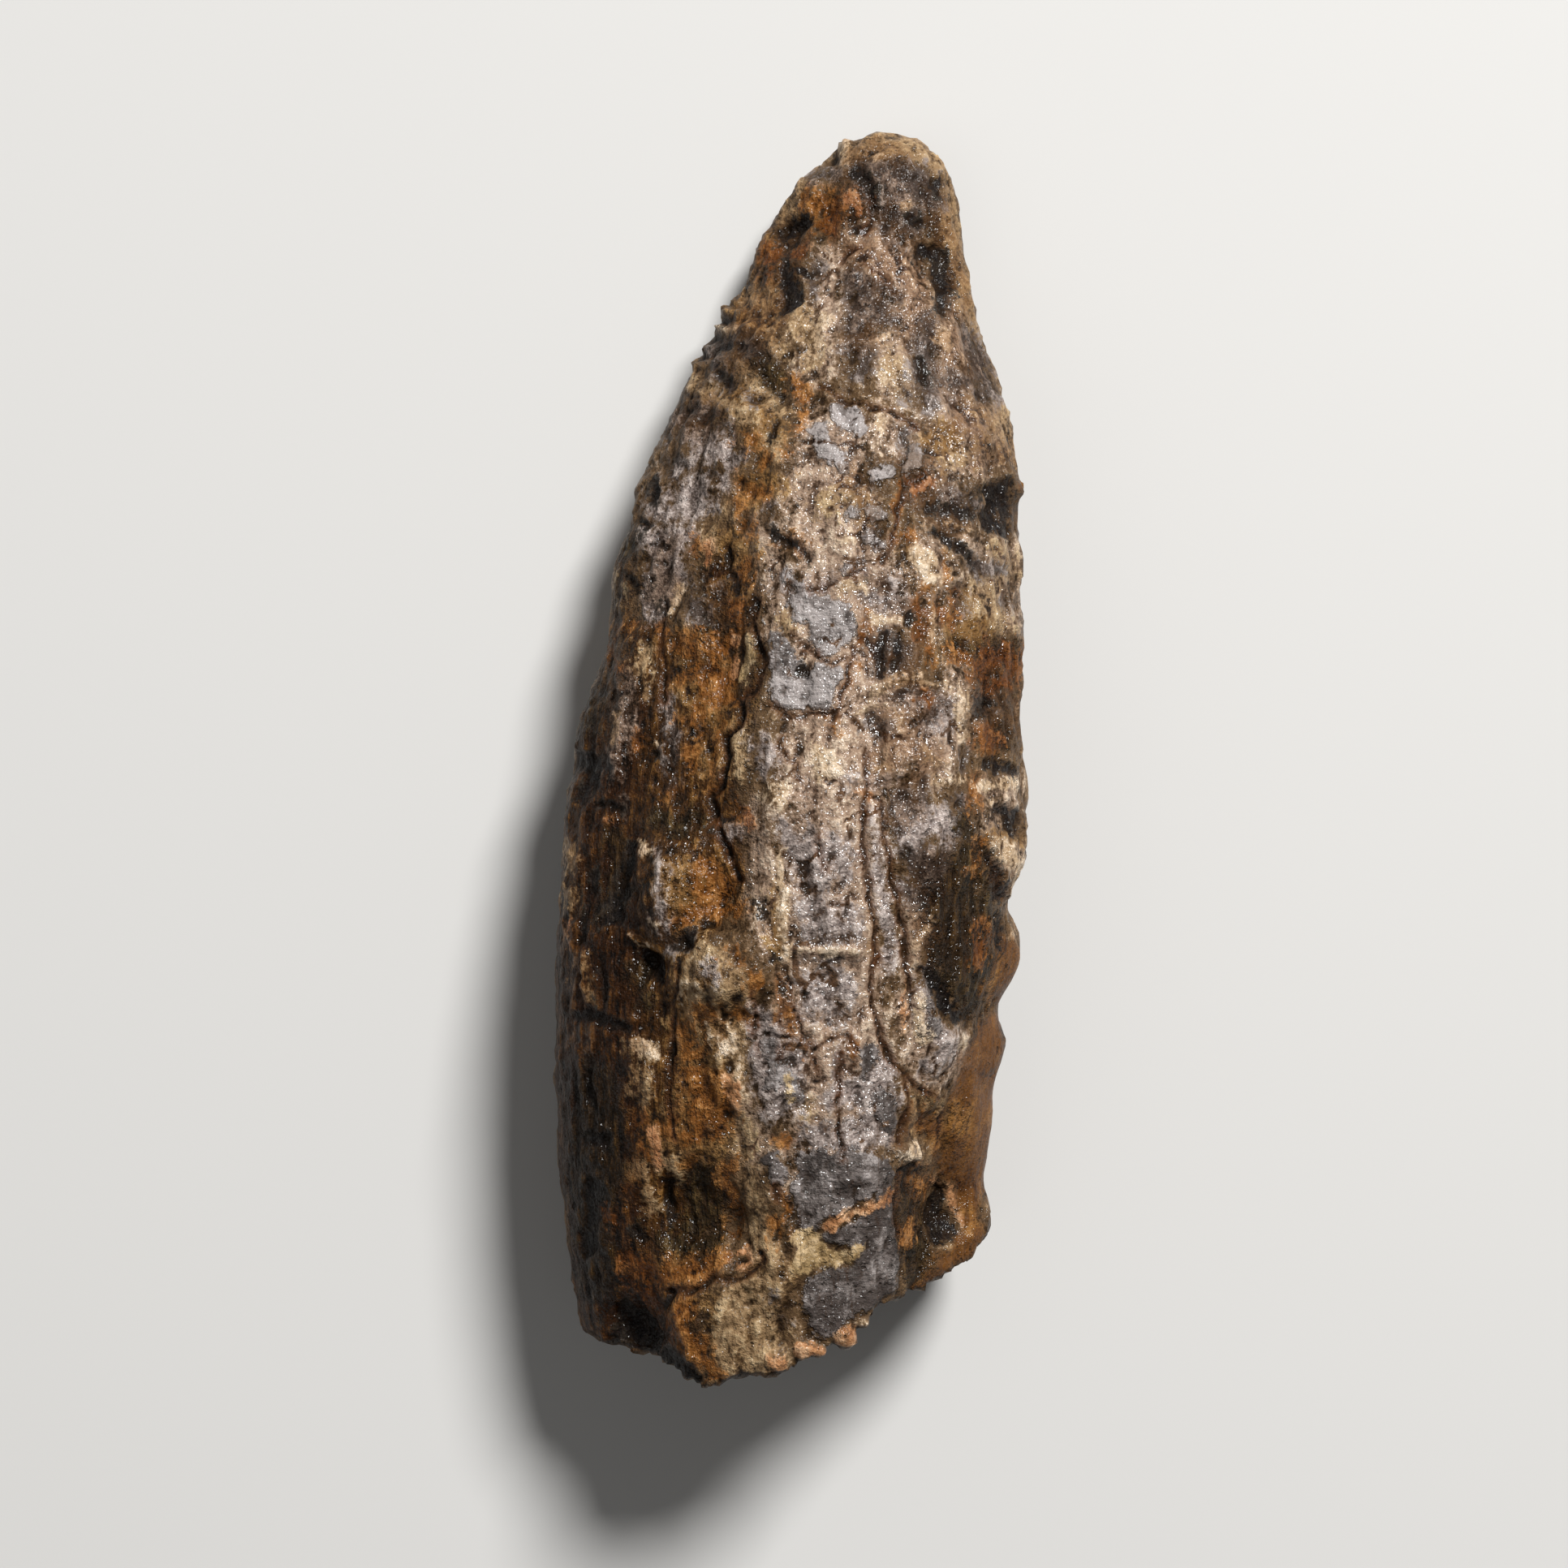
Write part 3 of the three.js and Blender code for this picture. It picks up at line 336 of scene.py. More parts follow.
        [(17, 272, 4), (14, 258, 5), (11, 248, 3)], [(89, 261, 3), (93, 254, 3.5)],
        # painted glint: the third stroke below
        [(44, 314, 2), (47, 304, 2), (52, 298, 1.5)], [(69, 342, 2)], [(52, 373, 1.5)],
        [(75, 128, 4), (82, 121, 5)], [(33, 137, 3.5)], [(53, 210, 3), (54, 202, 2.5)],
        [(-68, 106, 2), (-72, 97, 2.5), (-75, 90, 2)], [(13, 9, 3), (18, 2, 5.5), (22, -6, 5)],
        [(-19, -23, 1.5), (-12, -19, 3), (-7, -16, 2.5)],
        [(-8, -54, 1.2), (-8, -70, 2), (-7, -86, 2.7), (-4, -116, 2.7), (-4, -126, 1.8)],
        [(-43, 266, 2), (-37, 264, 2)], [(31, 380, 2.5), (32, 372, 4)],
        [(-97, -174, 3), (-90, -179, 4), (-86, -181, 3)], [(75, -144, 1.5), (76, -158, 2), (79, -172, 2.5)],
        [(74, -125, 2)], [(82, -102, 0.8), (76, -109, 1.2), (71, -117, 1)],
        # painted highlight: the first stroke below, along a ridge on the front
        [(-108, 29, 1.2), (-108, 21, 1.7), (-109, 12, 1.2)], [(-93, -51, 2), (-89, -56, 1.5)],
        # painted glint: the second stroke below, on a ridge
        [(-83, -101, 2)], [(-99, -106, 1.2), (-94, -112, 1.7), (-89, -115, 1.2)],
        [(-67, -137, 3), (-67, -146, 2.5)], [(-34, -188, 2.5), (-35, -198, 3.5), (-30, -207, 2.5)],
        # painted glint: the first stroke below
        [(-52, -226, 2)], [(120, -16, 3), (128, -13, 2.5), (136, -15, 3)], [(122, -26, 2.5)],
        # painted highlight: the second stroke below, along a ridge
        [(126, -54, 4), (132, -64, 4)], [(77, 12, 1.5), (82, 5, 1.7), (86, -2, 1.5)],
        [(100, 48, 1.7), (103, 14, 1.2)], [(85, 88, 2), (86, 74, 1.5)],
        [(93, 146, 1.2), (102, 143, 1.5), (110, 141, 1.2)],
        [(50, 45, 1.2), (64, 50, 1.5), (74, 52, 1.5), (82, 53, 1)], [(-84, 12, 1.2)], [(39, -345, 2)],
        [(74, 126, 4.5), (81, 122, 8), (84, 114, 4.5)], [(53, 260, 1.2), (60, 261, 1)],
        [(59, 232, 1.2), (66, 229, 1.5)], [(30, 112, 2), (38, 108, 2.5), (45, 106, 1.5)],
        [(50, 87, 2), (62, 85, 2), (69, 86, 1.5)], [(48, 42, 2), (60, 46, 2.5), (75, 50, 2), (96, 45, 1)],
        [(36, 26, 0.8), (47, 36, 1.2), (62, 32, 1.2), (66, 20, 0.8)],
        [(16, 6, 4), (19, -4, 4.5), (18, -12, 3)], [(-12, -18, 3), (-8, -26, 3)],
        [(74, 2, 1.5), (86, 0, 1.5)], [(88, -13, 1.5), (106, -13, 1.2)], [(118, -15, 2), (138, -15, 2.5)],
        # painted highlight: the second stroke below
        [(126, -52, 5), (136, -66, 5), (132, -82, 3.5)], [(46, -5, 1), (60, -5, 1.2)],
        # painted highlight: the first stroke below, along the top of a ridge
        [(2, -116, 1), (20, -117, 1.7), (42, -118, 1)], [(69, -242, 4), (72, -236, 2.5)],
        [(-9, -72, 2.5), (-3, -132, 1.2)], [(130, -110, 2.5)], [(102, -174, 2.5)],
        [(-46, -156, 1.2), (-44, -176, 1.2)], [(-39, -162, 1.6), (-36, -180, 2)],
        [(-52, -164, 1), (-50, -180, 0.8)], [(-58, -134, 2), (-52, -142, 1.5)],
    ],
    "straw": [  # smooth yellow crust
        [(3, -294, 5), (10, -295, 7), (9, -304, 8), (7, -310, 6), (16, -303, 4.5)],
        [(18, -305, 4), (27, -307, 5), (34, -304, 5), (39, -301, 3)],
        [(-26, 74, 3), (-25, 66, 4), (-28, 56, 4), (-29, 49, 3)], [(-4, -194, 1.2), (-2, -208, 2)],
    ],
    "salmon": [  # pinkish threads and veins
        [(23, -285, 2.5), (32, -282, 3.3), (42, -276, 2.7), (52, -272, 2.2), (60, -265, 2.5)],
        [(-11, -369, 4.5)], [(5, -362, 4.5), (11, -362, 5.5)], [(29, -355, 5), (33, -350, 4)],
        [(-52, 136, 2), (-53, 122, 2.5)], [(39, -19, 2), (46, -21, 3)],
        [(96, -262, 2.5), (99, -274, 3), (105, -284, 3.5)], [(-29, -34, 2.5), (-25, -39, 3)],
        [(-35, -302, 2.5), (-29, -301, 2.5), (-24, -308, 2.5), (-29, -314, 2.5), (-35, -310, 2)],
        [(-115, -36, 1.2), (-109, -38, 1.5)], [(68, -136, 1.5), (67, -170, 1.5)],
        [(-136, -98, 1.5), (-137, -108, 1.5), (-136, -116, 1.5)],
        [(-36, 76, 2.5), (-35, 64, 2), (-36, 52, 2)], [(-39, -194, 2.5), (-36, -206, 2.5)],
        [(84, 173, 2), (74, 166, 3)], [(21, -285, 2.8), (46, -275, 2.8), (61, -268, 2.5)],
        [(86, -260, 1.2), (97, -266, 1.2)], [(36, 348, 3.5), (39, 339, 3.5)],
        [(-34, -198, 3), (-34, -212, 2.5)], [(-88, -226, 3), (-82, -248, 3)],
    ],
    "amber": [  # smooth bare dentine where the corner broke away
        [(129, -114, 5), (131, -128, 9), (123, -141, 8)],
        [(117, -166, 7), (123, -182, 9), (112, -188, 8), (114, -206, 11), (107, -220, 11), (116, -224, 8),
         (110, -240, 12), (97, -246, 9), (108, -258, 9), (104, -270, 6), (109, -283, 6), (113, -288, 5)],
        [(104, -302, 5), (92, -307, 6), (88, -316, 5), (74, -331, 5)], [(139, 168, 3)],
        [(86, -224, 5), (88, -238, 5)], [(126, -109, 4), (132, -122, 9), (128, -140, 9)],
        [(122, -164, 8), (114, -176, 8), (109, -194, 10), (103, -214, 11), (103, -234, 12),
         (102, -252, 11)], [(120, -196, 9), (118, -230, 9), (116, -260, 8)],
        [(102, -298, 6), (112, -292, 6)],
    ],
    "black": [  # pits and tarry spots
        [(47, 351, 3.5), (50, 346, 2.5)], [(69, 334, 2), (75, 332, 2.5)], [(87, 354, 3), (89, 349, 2)],
        [(79, 247, 1.5), (81, 234, 2.5)], [(-9, 326, 2), (-2, 326, 4.5), (5, 329, 4.5), (7, 334, 2)],
        [(-3, 317, 3), (3, 320, 3)],
        [(-4, 314, 1), (-5, 302, 2.5), (-4, 292, 4.5), (-4, 282, 4), (-6, 276, 2)],
        [(2, 300, 3.5), (10, 300, 2.5)],
        [(78, 312, 3), (85, 313, 5), (90, 305, 5.5), (92, 295, 5), (90, 275, 2)],
        [(39, 361, 4), (45, 357, 3.5)], [(87, 355, 4)], [(72, 333, 3.5), (78, 331, 2.5)], [(50, 339, 2.5)],
        [(39, 327, 2)], [(74, 359, 1.5)], [(-46, 254, 2), (-32, 254, 2.5)],
        [(-46, 240, 2.5), (-42, 234, 2)], [(-57, 246, 3)], [(-41, 269, 2)], [(-6, 224, 1.5)],
        [(-11, 207, 2), (-11, 200, 2.5)], [(-63, 224, 1.2)],
        [(-86, 171, 2.5), (-84, 166, 3), (-87, 160, 1.5)], [(-94, 148, 2.5), (-89, 145, 2)],
        [(-83, 133, 2.5), (-79, 130, 2)], [(-86, 112, 1.5)], [(-79, 122, 1), (-74, 118, 1)],
        [(-89, 123, 1.5)], [(-99, 112, 2.5), (-97, 104, 2.5)], [(-80, 98, 1), (-79, 88, 1.2)],
        [(-40, 132, 1.5), (-39, 124, 1.7), (-40, 116, 1.2), (-36, 110, 2), (-35, 103, 1.5)],
        [(-23, 98, 2.5), (-26, 92, 2), (-27, 84, 1.5)],
        [(122, 166, 6), (130, 169, 4.5), (122, 154, 6.5), (123, 144, 5), (132, 156, 3.5)],
        [(96, 154, 2), (102, 152, 3), (109, 152, 2.5)],
        [(85, 141, 1.5), (91, 138, 2.5), (96, 134, 2.5), (109, 122, 1.2)], [(85, 157, 3), (82, 154, 2)],
        [(69, 159, 1.2)], [(-14, 141, 2.5), (-6, 135, 3), (3, 131, 2.5), (9, 126, 2.5)], [(81, 190, 1.2)],
        [(52, 54, 2.5), (55, 76, 3)], [(62, 58, 2.5), (64, 78, 2)], [(70, 88, 2.5), (70, 82, 1.5)],
        [(120, 36, 2.5), (117, 29, 2)], [(120, -1, 4), (126, -4, 4.5), (131, -8, 2)],
        [(126, -31, 3), (133, -32, 3), (132, -40, 3), (132, -47, 1)],
        [(118, -58, 1), (121, -66, 2), (124, -76, 2.5), (123, -84, 2)],
        [(124, -96, 1.5), (126, -106, 2), (124, -114, 1.5)],
        [(89, -134, 3), (89, -144, 4.5), (100, -158, 3.5)], [(77, -129, 1.7)], [(100, -27, 2)],
        [(-132, 0, 6), (-126, -2, 6), (-124, -12, 4), (-130, -24, 4)], [(-88, 12, 1.5)], [(-86, 5, 2)],
        [(-31, 34, 1.5), (-32, 26, 1.5)], [(-41, 16, 1.2), (-41, 4, 1.5), (-42, -8, 1.7), (-44, -16, 1.2)],
        [(-49, -27, 2.5), (-49, -34, 1.7)], [(-47, -44, 2), (-43, -51, 2), (-39, -57, 1)],
        [(-43, -37, 1.5), (-38, -36, 1.2)], [(-121, -26, 1.2), (-112, -27, 1.7), (-106, -32, 1.2)],
        [(-87, -63, 1.5)], [(-100, -54, 3), (-105, -82, 4)],
        [(-112, -88, 4), (-108, -98, 4), (-116, -99, 4)],
        [(-89, -122, 3.5), (-85, -129, 4), (-82, -136, 2)],
        [(-70, -114, 2), (-66, -109, 3), (-60, -107, 1.5)], [(-118, -130, 3), (-116, -144, 3)],
        [(-132, -156, 4.5), (-122, -158, 4.5), (-112, -162, 3.5), (-102, -164, 1.5)], [(-35, -144, 1.5)],
        [(-19, -86, 2)], [(-18, -96, 2.5)], [(-14, -123, 2)], [(-126, -233, 5), (-115, -234, 4)],
        [(-46, -226, 1.5)], [(-82, -259, 1.5), (-77, -260, 2), (-78, -274, 2), (-77, -284, 1)],
        [(-97, -288, 2.5), (-92, -295, 2.5)], [(-31, -308, 1.2)],
        [(-104, -338, 5), (-94, -348, 9), (-104, -356, 10), (-88, -356, 7), (-92, -365, 8)],
        [(-78, -367, 5), (-68, -375, 6), (-60, -384, 5)], [(-76, -329, 2.5), (-79, -336, 2)],
        [(89, -264, 2), (88, -274, 4.5), (91, -284, 6.5), (98, -289, 3), (88, -294, 4)],
        [(69, -255, 3), (67, -266, 2)], [(28, -222, 1.2), (28, -232, 1.7), (29, -242, 1.2)],
        [(2, 58, 1.2), (7, 53, 1.2)], [(-75, -174, 1.5), (-76, -186, 1.5)],
        [(-126, -194, 3), (-124, -210, 3)], [(-124, -260, 5), (-126, -300, 5)],
        [(-130, -110, 2), (-122, -70, 3)], [(-8, 324, 3), (2, 327, 5.5), (8, 331, 3.5)],
        [(-2, 294, 6), (1, 284, 6), (-2, 278, 3)],
        [(79, 313, 4), (88, 310, 6), (92, 298, 5.5), (92, 286, 4), (92, 276, 2)],
        [(119, 166, 5), (129, 164, 6), (122, 150, 7), (128, 142, 5)], [(124, -5, 3.5), (134, -6, 3)],
        [(129, -32, 3), (136, -34, 3), (134, -44, 2)], [(84, -132, 3), (90, -146, 5.5), (96, -156, 6)],
        [(89, -266, 3), (88, -280, 6), (94, -286, 6), (88, -294, 4)], [(66, -252, 1.5), (76, -252, 1.5)],
        [(-104, 40, 1)],
    ],
}

# Colour marks on the lower face
lowerMarks = {
    "enamel": [
        [(60, 300, 24), (30, 220, 30), (26, 120, 36), (26, 20, 40), (6, -80, 40), (4, -180, 44),
         (10, -270, 36)],
    ],
    # a brown film, and painted shade on the tip and the flanks
    "washAndShade": [[(60, 360, 26)], [(-96, 0, 20), (-106, -200, 26)], [(110, 100, 20), (110, -100, 20)]],
    "ochre": [
        [(-50, 200, 20), (-70, 80, 26)], [(-60, -140, 24), (-60, -300, 30)],
        [(90, 140, 22), (96, -20, 22), (80, -160, 24)], [(40, 340, 16)],
    ],
    "lilac": [[(-50, 160, 12), (-64, 110, 14)], [(40, -120, 16), (30, -200, 16)]],
    "flank": [
        [(-80, 100, 20), (-90, 0, 32), (-100, -120, 34), (-96, -240, 38), (-90, -340, 32)],
        [(86, -100, 20), (84, -240, 26)],
    ],
    "tan": [
        [(60, 370, 24), (50, 310, 20), (20, 260, 16)], [(90, 210, 16), (105, 140, 14)],
        [(-100, 40, 10), (-95, 90, 8)], [(15, -330, 20), (50, -310, 14)],
    ],
    "smoke": [
        [(72, 270, 10), (86, 240, 9)], [(-50, 190, 8), (-60, 140, 7)], [(30, -200, 10)],
        [(70, 60, 10), (76, 10, 8)], [(-10, 80, 7)], [(10, -60, 8)],
    ],
    "olive": [[(-106, -40, 12), (-110, -90, 11)], [(108, -110, 12), (106, -170, 12)], [(-80, -280, 14)]],
    "rust": [
        [(-24, 110, 8), (-30, 60, 11), (-44, 10, 8)], [(56, -120, 9), (64, -170, 11)],
        [(-66, -220, 9), (-70, -270, 10)], [(90, 310, 6)], [(120, 40, 9)],
    ],
    "slate": [
        [(40, 160, 13), (50, 110, 12)], [(36, 50, 14)], [(10, -20, 12), (4, -80, 14)],
        [(-10, -200, 16), (6, -250, 14)], [(-96, -120, 8)], [(95, 20, 8)],
    ],
    "cream": [
        [(60, 330, 6)], [(6, 220, 5), (2, 200, 4)], [(26, -300, 6)], [(-30, -120, 4)], [(60, -20, 4)],
    ],
    "straw": [[(36, 260, 5)], [(-20, -280, 5), (-14, -296, 4)]],
    "salmon": [[(-10, 180, 4), (0, 160, 3)], [(40, -240, 3), (60, -250, 3)]],
    "amber": [[(128, -126, 8)], [(120, -180, 10), (114, -230, 12), (108, -280, 14)]],
    "black": [
        [(80, 340, 4)], [(-60, 200, 4), (-54, 180, 5)], [(-64, -70, 4), (-68, -100, 5)],
        [(90, -40, 4), (94, -70, 4)], [(36, -240, 3)], [(-30, -330, 6)], [(64, 200, 4)], [(20, 140, 3)],
    ],
}

# Cracks in the upper face: a width in mm, then the points they pass
cracks = [
    (0.16, [(1.8, 23), (2.6, 22.5), (3.4, 22.1), (4.3, 22), (4.8, 21.6), (5.6, 21.5), (6.2, 21.3),
     (6.9, 20.9), (7.5, 20.3)]),
    (0.15, [(6.8, 17), (6.6, 16.2), (6.3, 15.2), (6.1, 14.2), (6, 13.2), (5.4, 12.2)]),
    (0.12, [(1, 10.6), (2, 10.8), (3, 11.2), (4.4, 11.8)]),
    (0.14, [(0, 7.8), (0.5, 7.2), (1.1, 6.6), (1.8, 6.2), (2.6, 6), (3.2, 6.3)]),
    (0.13, [(3.6, 7), (3.4, 5.6), (3.2, 4.6), (2.8, 3.8), (2.5, 2.6)]),
    (0.16, [(4.4, 0.6), (4.4, -0.6), (4.5, -1.6), (4.2, -2.6), (4.1, -4), (4.2, -5.2), (4.3, -6.4),
     (4.6, -8.2), (4.8, -9.4), (5, -10.8), (5, -12), (4.7, -12.8), (4.8, -14.2), (5, -15.8), (5.3, -17),
     (5.9, -18.4), (6.5, -19.2), (6.9, -20.4), (6.9, -22), (6.4, -23.6)]),
    (0.17, [(4.5, -2.1), (5.3, -2.4), (5.4, -3.6), (5.6, -5), (5.9, -6.4), (6.1, -8), (6.5, -9.2),
     (6.8, -10.6), (6.9, -12.4), (7, -14)]),
    (0.15, [(-0.4, -12.6), (-0.2, -14.2), (0.2, -15.6), (0.5, -17), (1.2, -18.2), (1.6, -19.3)]),
    (0.13, [(0.9, -18.1), (2.2, -17.1), (3.3, -16.9), (3.8, -17.6), (3.6, -18.8)]),
    (0.13, [(6.4, -19.1), (7.4, -19.8), (8.4, -20.6)]),
    (0.2, [(7.2, -24.7), (6.4, -25.2), (6.2, -26.8), (6.4, -29)]),
    (0.2, [(-7.8, -32.7), (-6.6, -32.7), (-5.6, -32.4), (-4.9, -31.8), (-4.2, -31.9), (-3.4, -32),
     (-2.4, -31.6), (-1.8, -30.9), (-1.9, -30.2)]),
    (0.12, [(-7, -12.6), (-6.9, -13.8), (-7.2, -15), (-7.3, -16.5), (-7.5, -18), (-7.6, -20), (-7.5, -22),
     (-7.3, -23.3)]),
    (0.2, [(-3, 3.4), (-3.2, 2.2), (-4.1, 1.4), (-4.1, 0.2), (-4.3, -1.2), (-4.9, -2.4), (-4.8, -3.7),
     (-4.6, -4.9), (-4, -5.4), (-3.6, -6.5), (-3.3, -7.3)]),
    (0.2, [(-2.1, 9.8), (-2.4, 8.6), (-1.9, 6.8), (-1.6, 6), (-2.2, 4.4), (-2.9, 3.8)]),
    (0.16, [(-8, 8.6), (-8.1, 6.4), (-7.9, 4.8), (-8, 3.6)]),
    (0.14, [(-1.3, 3.4), (-0.8, 2.9), (0.4, 2.75), (2, 2.9), (2.6, 3.2)]),
    (0.12, [(0.1, -0.1), (0.4, -1.2)]), (0.12, [(1.5, -4.6), (1.6, -5.8), (2, -6.6)]),
    (0.12, [(-0.7, 1.4), (-0.9, 0.7), (-0.2, -0.1)]),
    (0.13, [(2.8, -18), (2.9, -20), (2.8, -21.6), (2.8, -23), (2.9, -24.4)]),
    (0.14, [(-1, -26), (-0.9, -27.2)]), (0.14, [(11.9, -6.2), (12.3, -7.4), (12.5, -8.4)]),
    (0.13, [(3, 30.9), (4.2, 31.6), (4.6, 30.4), (5.6, 29.6), (6.1, 28.8)]),
    (0.14, [(4.9, 34.6), (4.8, 33.2), (4.4, 32.6)]), (0.14, [(-13, -12), (-13.1, -15.2)]),
    (0.14, [(8.9, -21.6), (8.8, -23.6)]), (0.1, [(-2.5, -14), (-2.2, -15.4), (-2.4, -16.8), (-2, -18.2)]),
    (0.1, [(-0.6, -14.6), (-0.9, -15.8), (-0.5, -17), (-0.9, -18.4)]),
]
# In widths of the crack: its depth, its groove, and the lip beside it
crackShape = {"depth": 1.1, "groove": 0.85, "lip": 0.35, "lipAt": 2.2}

# Raised threads and wrinkles of the enamel: height and half width in mm, then the points they pass
ridges = [
    (0.22, 0.22, [(0.1, -11.4), (1.1, -11.6), (2.4, -11.5), (4, -11.7)]),
    (0.16, 0.28, [(4.3, 4.3), (5.4, 4.7), (6.6, 5), (8.2, 5.3)]),
    (0.15, 0.22, [(3.3, 2.4), (3.9, 3.2), (5, 3.7), (6.2, 3.4), (6.9, 2.4)]),
    (0.18, 0.26, [(3.1, -1.2), (4.2, -1.1), (5.6, -1), (6.8, -0.6)]),
    (0.14, 0.22, [(2.5, 1.2), (3.6, 1.6), (4.6, 1.2)]), (0.13, 0.2, [(5.4, 3.9), (6.8, 4.4), (8, 4.3)]),
    (0.13, 0.2, [(6, 1.4), (7, 2), (8, 0.8), (8.6, -0.4)]),
    (0.16, 0.2, [(7.1, -11.8), (7.8, -11), (8.4, -10.3)]),
    (0.12, 0.2, [(0.2, -9.4), (1.4, -8.8), (2.4, -9.2), (3.6, -8.6)]),
    (0.12, 0.18, [(0.4, -13.4), (1.6, -13.8), (2.8, -13.6)]),
    (0.22, 0.32, [(-10.5, 4.4), (-10.3, 3), (-10.6, 1.4), (-10.9, 0)]),
    (0.12, 0.3, [(-8, -6.2), (-8.3, -8.4), (-8.1, -10.6)]),
    (0.16, 0.25, [(-13.6, -6), (-13.8, -8.8), (-13.4, -11.6)]), (0.2, 0.26, [(-12.7, -12), (-12.7, -14.8)]),
    (0.2, 0.26, [(-9.9, -10.6), (-9, -11.3), (-8.2, -12.2)]),
    (0.2, 0.3, [(-1, 1.6), (-1.6, 0), (-1.3, -1.8)]), (0.16, 0.24, [(3.9, -24), (5, -22.6), (6.2, -22)]),
    (0.16, 0.3, [(8.3, 30.8), (8.6, 29.4), (8.8, 28.2)]),
    (0.2, 0.35, [(12, -2.6), (11.9, -4.6), (12.4, -6.4), (12.6, -8)]),
    (0.18, 0.3, [(7.6, -14), (7.8, -16), (8.4, -17.4), (10.6, -17)]),
    (0.2, 0.3, [(8.9, -30), (10.2, -29.8), (11, -29.2)]),
    (0.14, 0.2, [(2, 22.4), (2.6, 21.4), (2.2, 20.6)]),
    (0.14, 0.2, [(4.6, 21.4), (4.8, 20.4), (4.2, 19.6)]),
    (0.15, 0.19, [(-2.6, -15.2), (-1.8, -15.6), (-1, -15.3)]),
    (0.15, 0.19, [(-2.4, -16.6), (-1.5, -16.3), (-0.7, -16.8), (0.1, -16.5)]),
    (0.15, 0.19, [(-2.2, -17.9), (-1.2, -18.2), (-0.4, -17.8)]),
    (0.14, 0.19, [(-1.9, -19.2), (-0.9, -19), (0, -19.5)]),
    (0.14, 0.19, [(-1.6, -20.6), (-0.6, -20.3), (0.4, -20.8), (1.2, -20.4)]),
    (0.14, 0.19, [(3.4, -19.6), (4.2, -20), (5, -19.6)]),
    (0.14, 0.19, [(3.6, -21.2), (4.6, -21.6), (5.4, -21.2)]),
    (0.14, 0.2, [(0.4, -5.2), (1.4, -4.8), (2.4, -5.2), (3.4, -4.9)]),
    (0.14, 0.2, [(0.2, -7.2), (1.2, -7.6), (2.2, -7.1), (3.2, -7.5)]),
]

# The rippled strip between the two long cracks
strip = {
    "path": [(4.8, -3.2), (5.1, -7), (5.7, -10), (6, -13.5)],
    "reach": 0.55,
    "rise": 0.12,
    "ripple": 0.07,
    "pitch": 0.46,
}

# Relief that follows the colour marks: how far each stands out of the skin or sinks into it, in mm
markHeights = {
    "slate": 0.13, "cream": 0.07, "straw": 0.08, "tan": 0.03, "black": -0.2, "rust": -0.05, "smoke": -0.04,
    "salmon": 0.05,
}

# Lumps and hollows too small for the solid: middle, radius each way and height
smallForms = [
    ((-7.2, -7.8), (2.1, 2.9), 0.5), ((-10.7, -6.6), (0.8, 2.4), -0.35), ((-4.8, -13.4), (1.9, 2.2), 0.65),
    ((-8.8, -12.4), (0.8, 1), -0.7), ((-6.9, -11.3), (0.8, 0.45), -0.6),
    ((-4.7, -10.3), (1.3, 0.35), -0.35), ((2.2, 37.2), (0.4, 0.45), -0.5),
    ((-6.4, -27.8), (2.1, 2.4), -0.5), ((-9.6, -35.2), (1.8, 1.5), -0.5), ((-12.8, -0.4), (0.8, 1.2), -0.4),
    ((-1, -36.8), (0.7, 0.7), 0.5), ((1, -36.1), (0.8, 0.6), 0.55), ((2.9, -35.4), (0.7, 0.6), 0.5),
    ((4.1, -34.4), (0.5, 0.3), 0.4), ((5.5, 2.2), (1, 0.8), 0.2), ((1.8, 0), (0.7, 1), 0.18),
    ((-11.3, -3.7), (0.7, 0.35), 0.25), ((-9, -6.2), (0.3, 0.7), -0.2), ((-4.9, -5.6), (0.5, 0.4), 0.12),
    ((0.5, 5.5), (0.35, 0.35), -0.3), ((-3.3, -30.8), (1.3, 1), 0.2), ((-3.2, -30.9), (0.5, 0.2), -0.25),
    ((8.9, -28.2), (0.7, 1.4), -0.8), ((9, -26.4), (0.3, 0.8), -0.35), ((13.1, -3.8), (0.5, 0.9), -0.25),
    ((9, 29.6), (0.5, 1.9), -0.3), ((0.1, 32.7), (0.9, 0.5), -0.3), ((2, 33.8), (1.1, 1.3), -0.15),
    ((12.2, 15.4), (0.6, 1.2), -0.3), ((13.8, 16.6), (0.3, 0.35), 0.3), ((-7.7, -27), (0.3, 1.2), -0.4),
    ((-3.3, -3.2), (0.9, 0.5), -0.2), ((3.1, 38.2), (0.35, 0.5), 0.9), ((-2.6, 6), (0.6, 1.4), 0.12),
    ((7.6, -22.6), (0.4, 1.4), -0.25), ((6.9, -24.2), (0.6, 0.5), 0.2), ((-6.9, -34.8), (0.8, 1.4), 0.35),
    ((11.5, -27), (0.4, 1.2), -0.15), ((10.9, -21), (0.5, 3), 0.2), ((9.3, -22.8), (0.4, 2), -0.2),
    ((7, -31), (0.25, 2.4), -0.2), ((7.9, -30), (0.3, 2.6), -0.2),
]

# Corners of the outline pushed out or in: middle, radius and shift
nudges = [((10.8, -30.6), 3.2, (1.1, -0.8)), ((-4.4, 27.4), 4, (0.6, 0)), ((-10.5, 3.4), 3, (0.35, 0))]


def smoothstep(low, high, value):
    t = np.clip((value - low) / (high - low), 0, 1)
    return t * t * (3 - 2 * t)


def bell(distance, width):
    return np.exp(-(distance / width) ** 2)


def mound(x, y, middle, reach):
    return bell(x - middle[0], reach[0]) * bell(y - middle[1], reach[1])


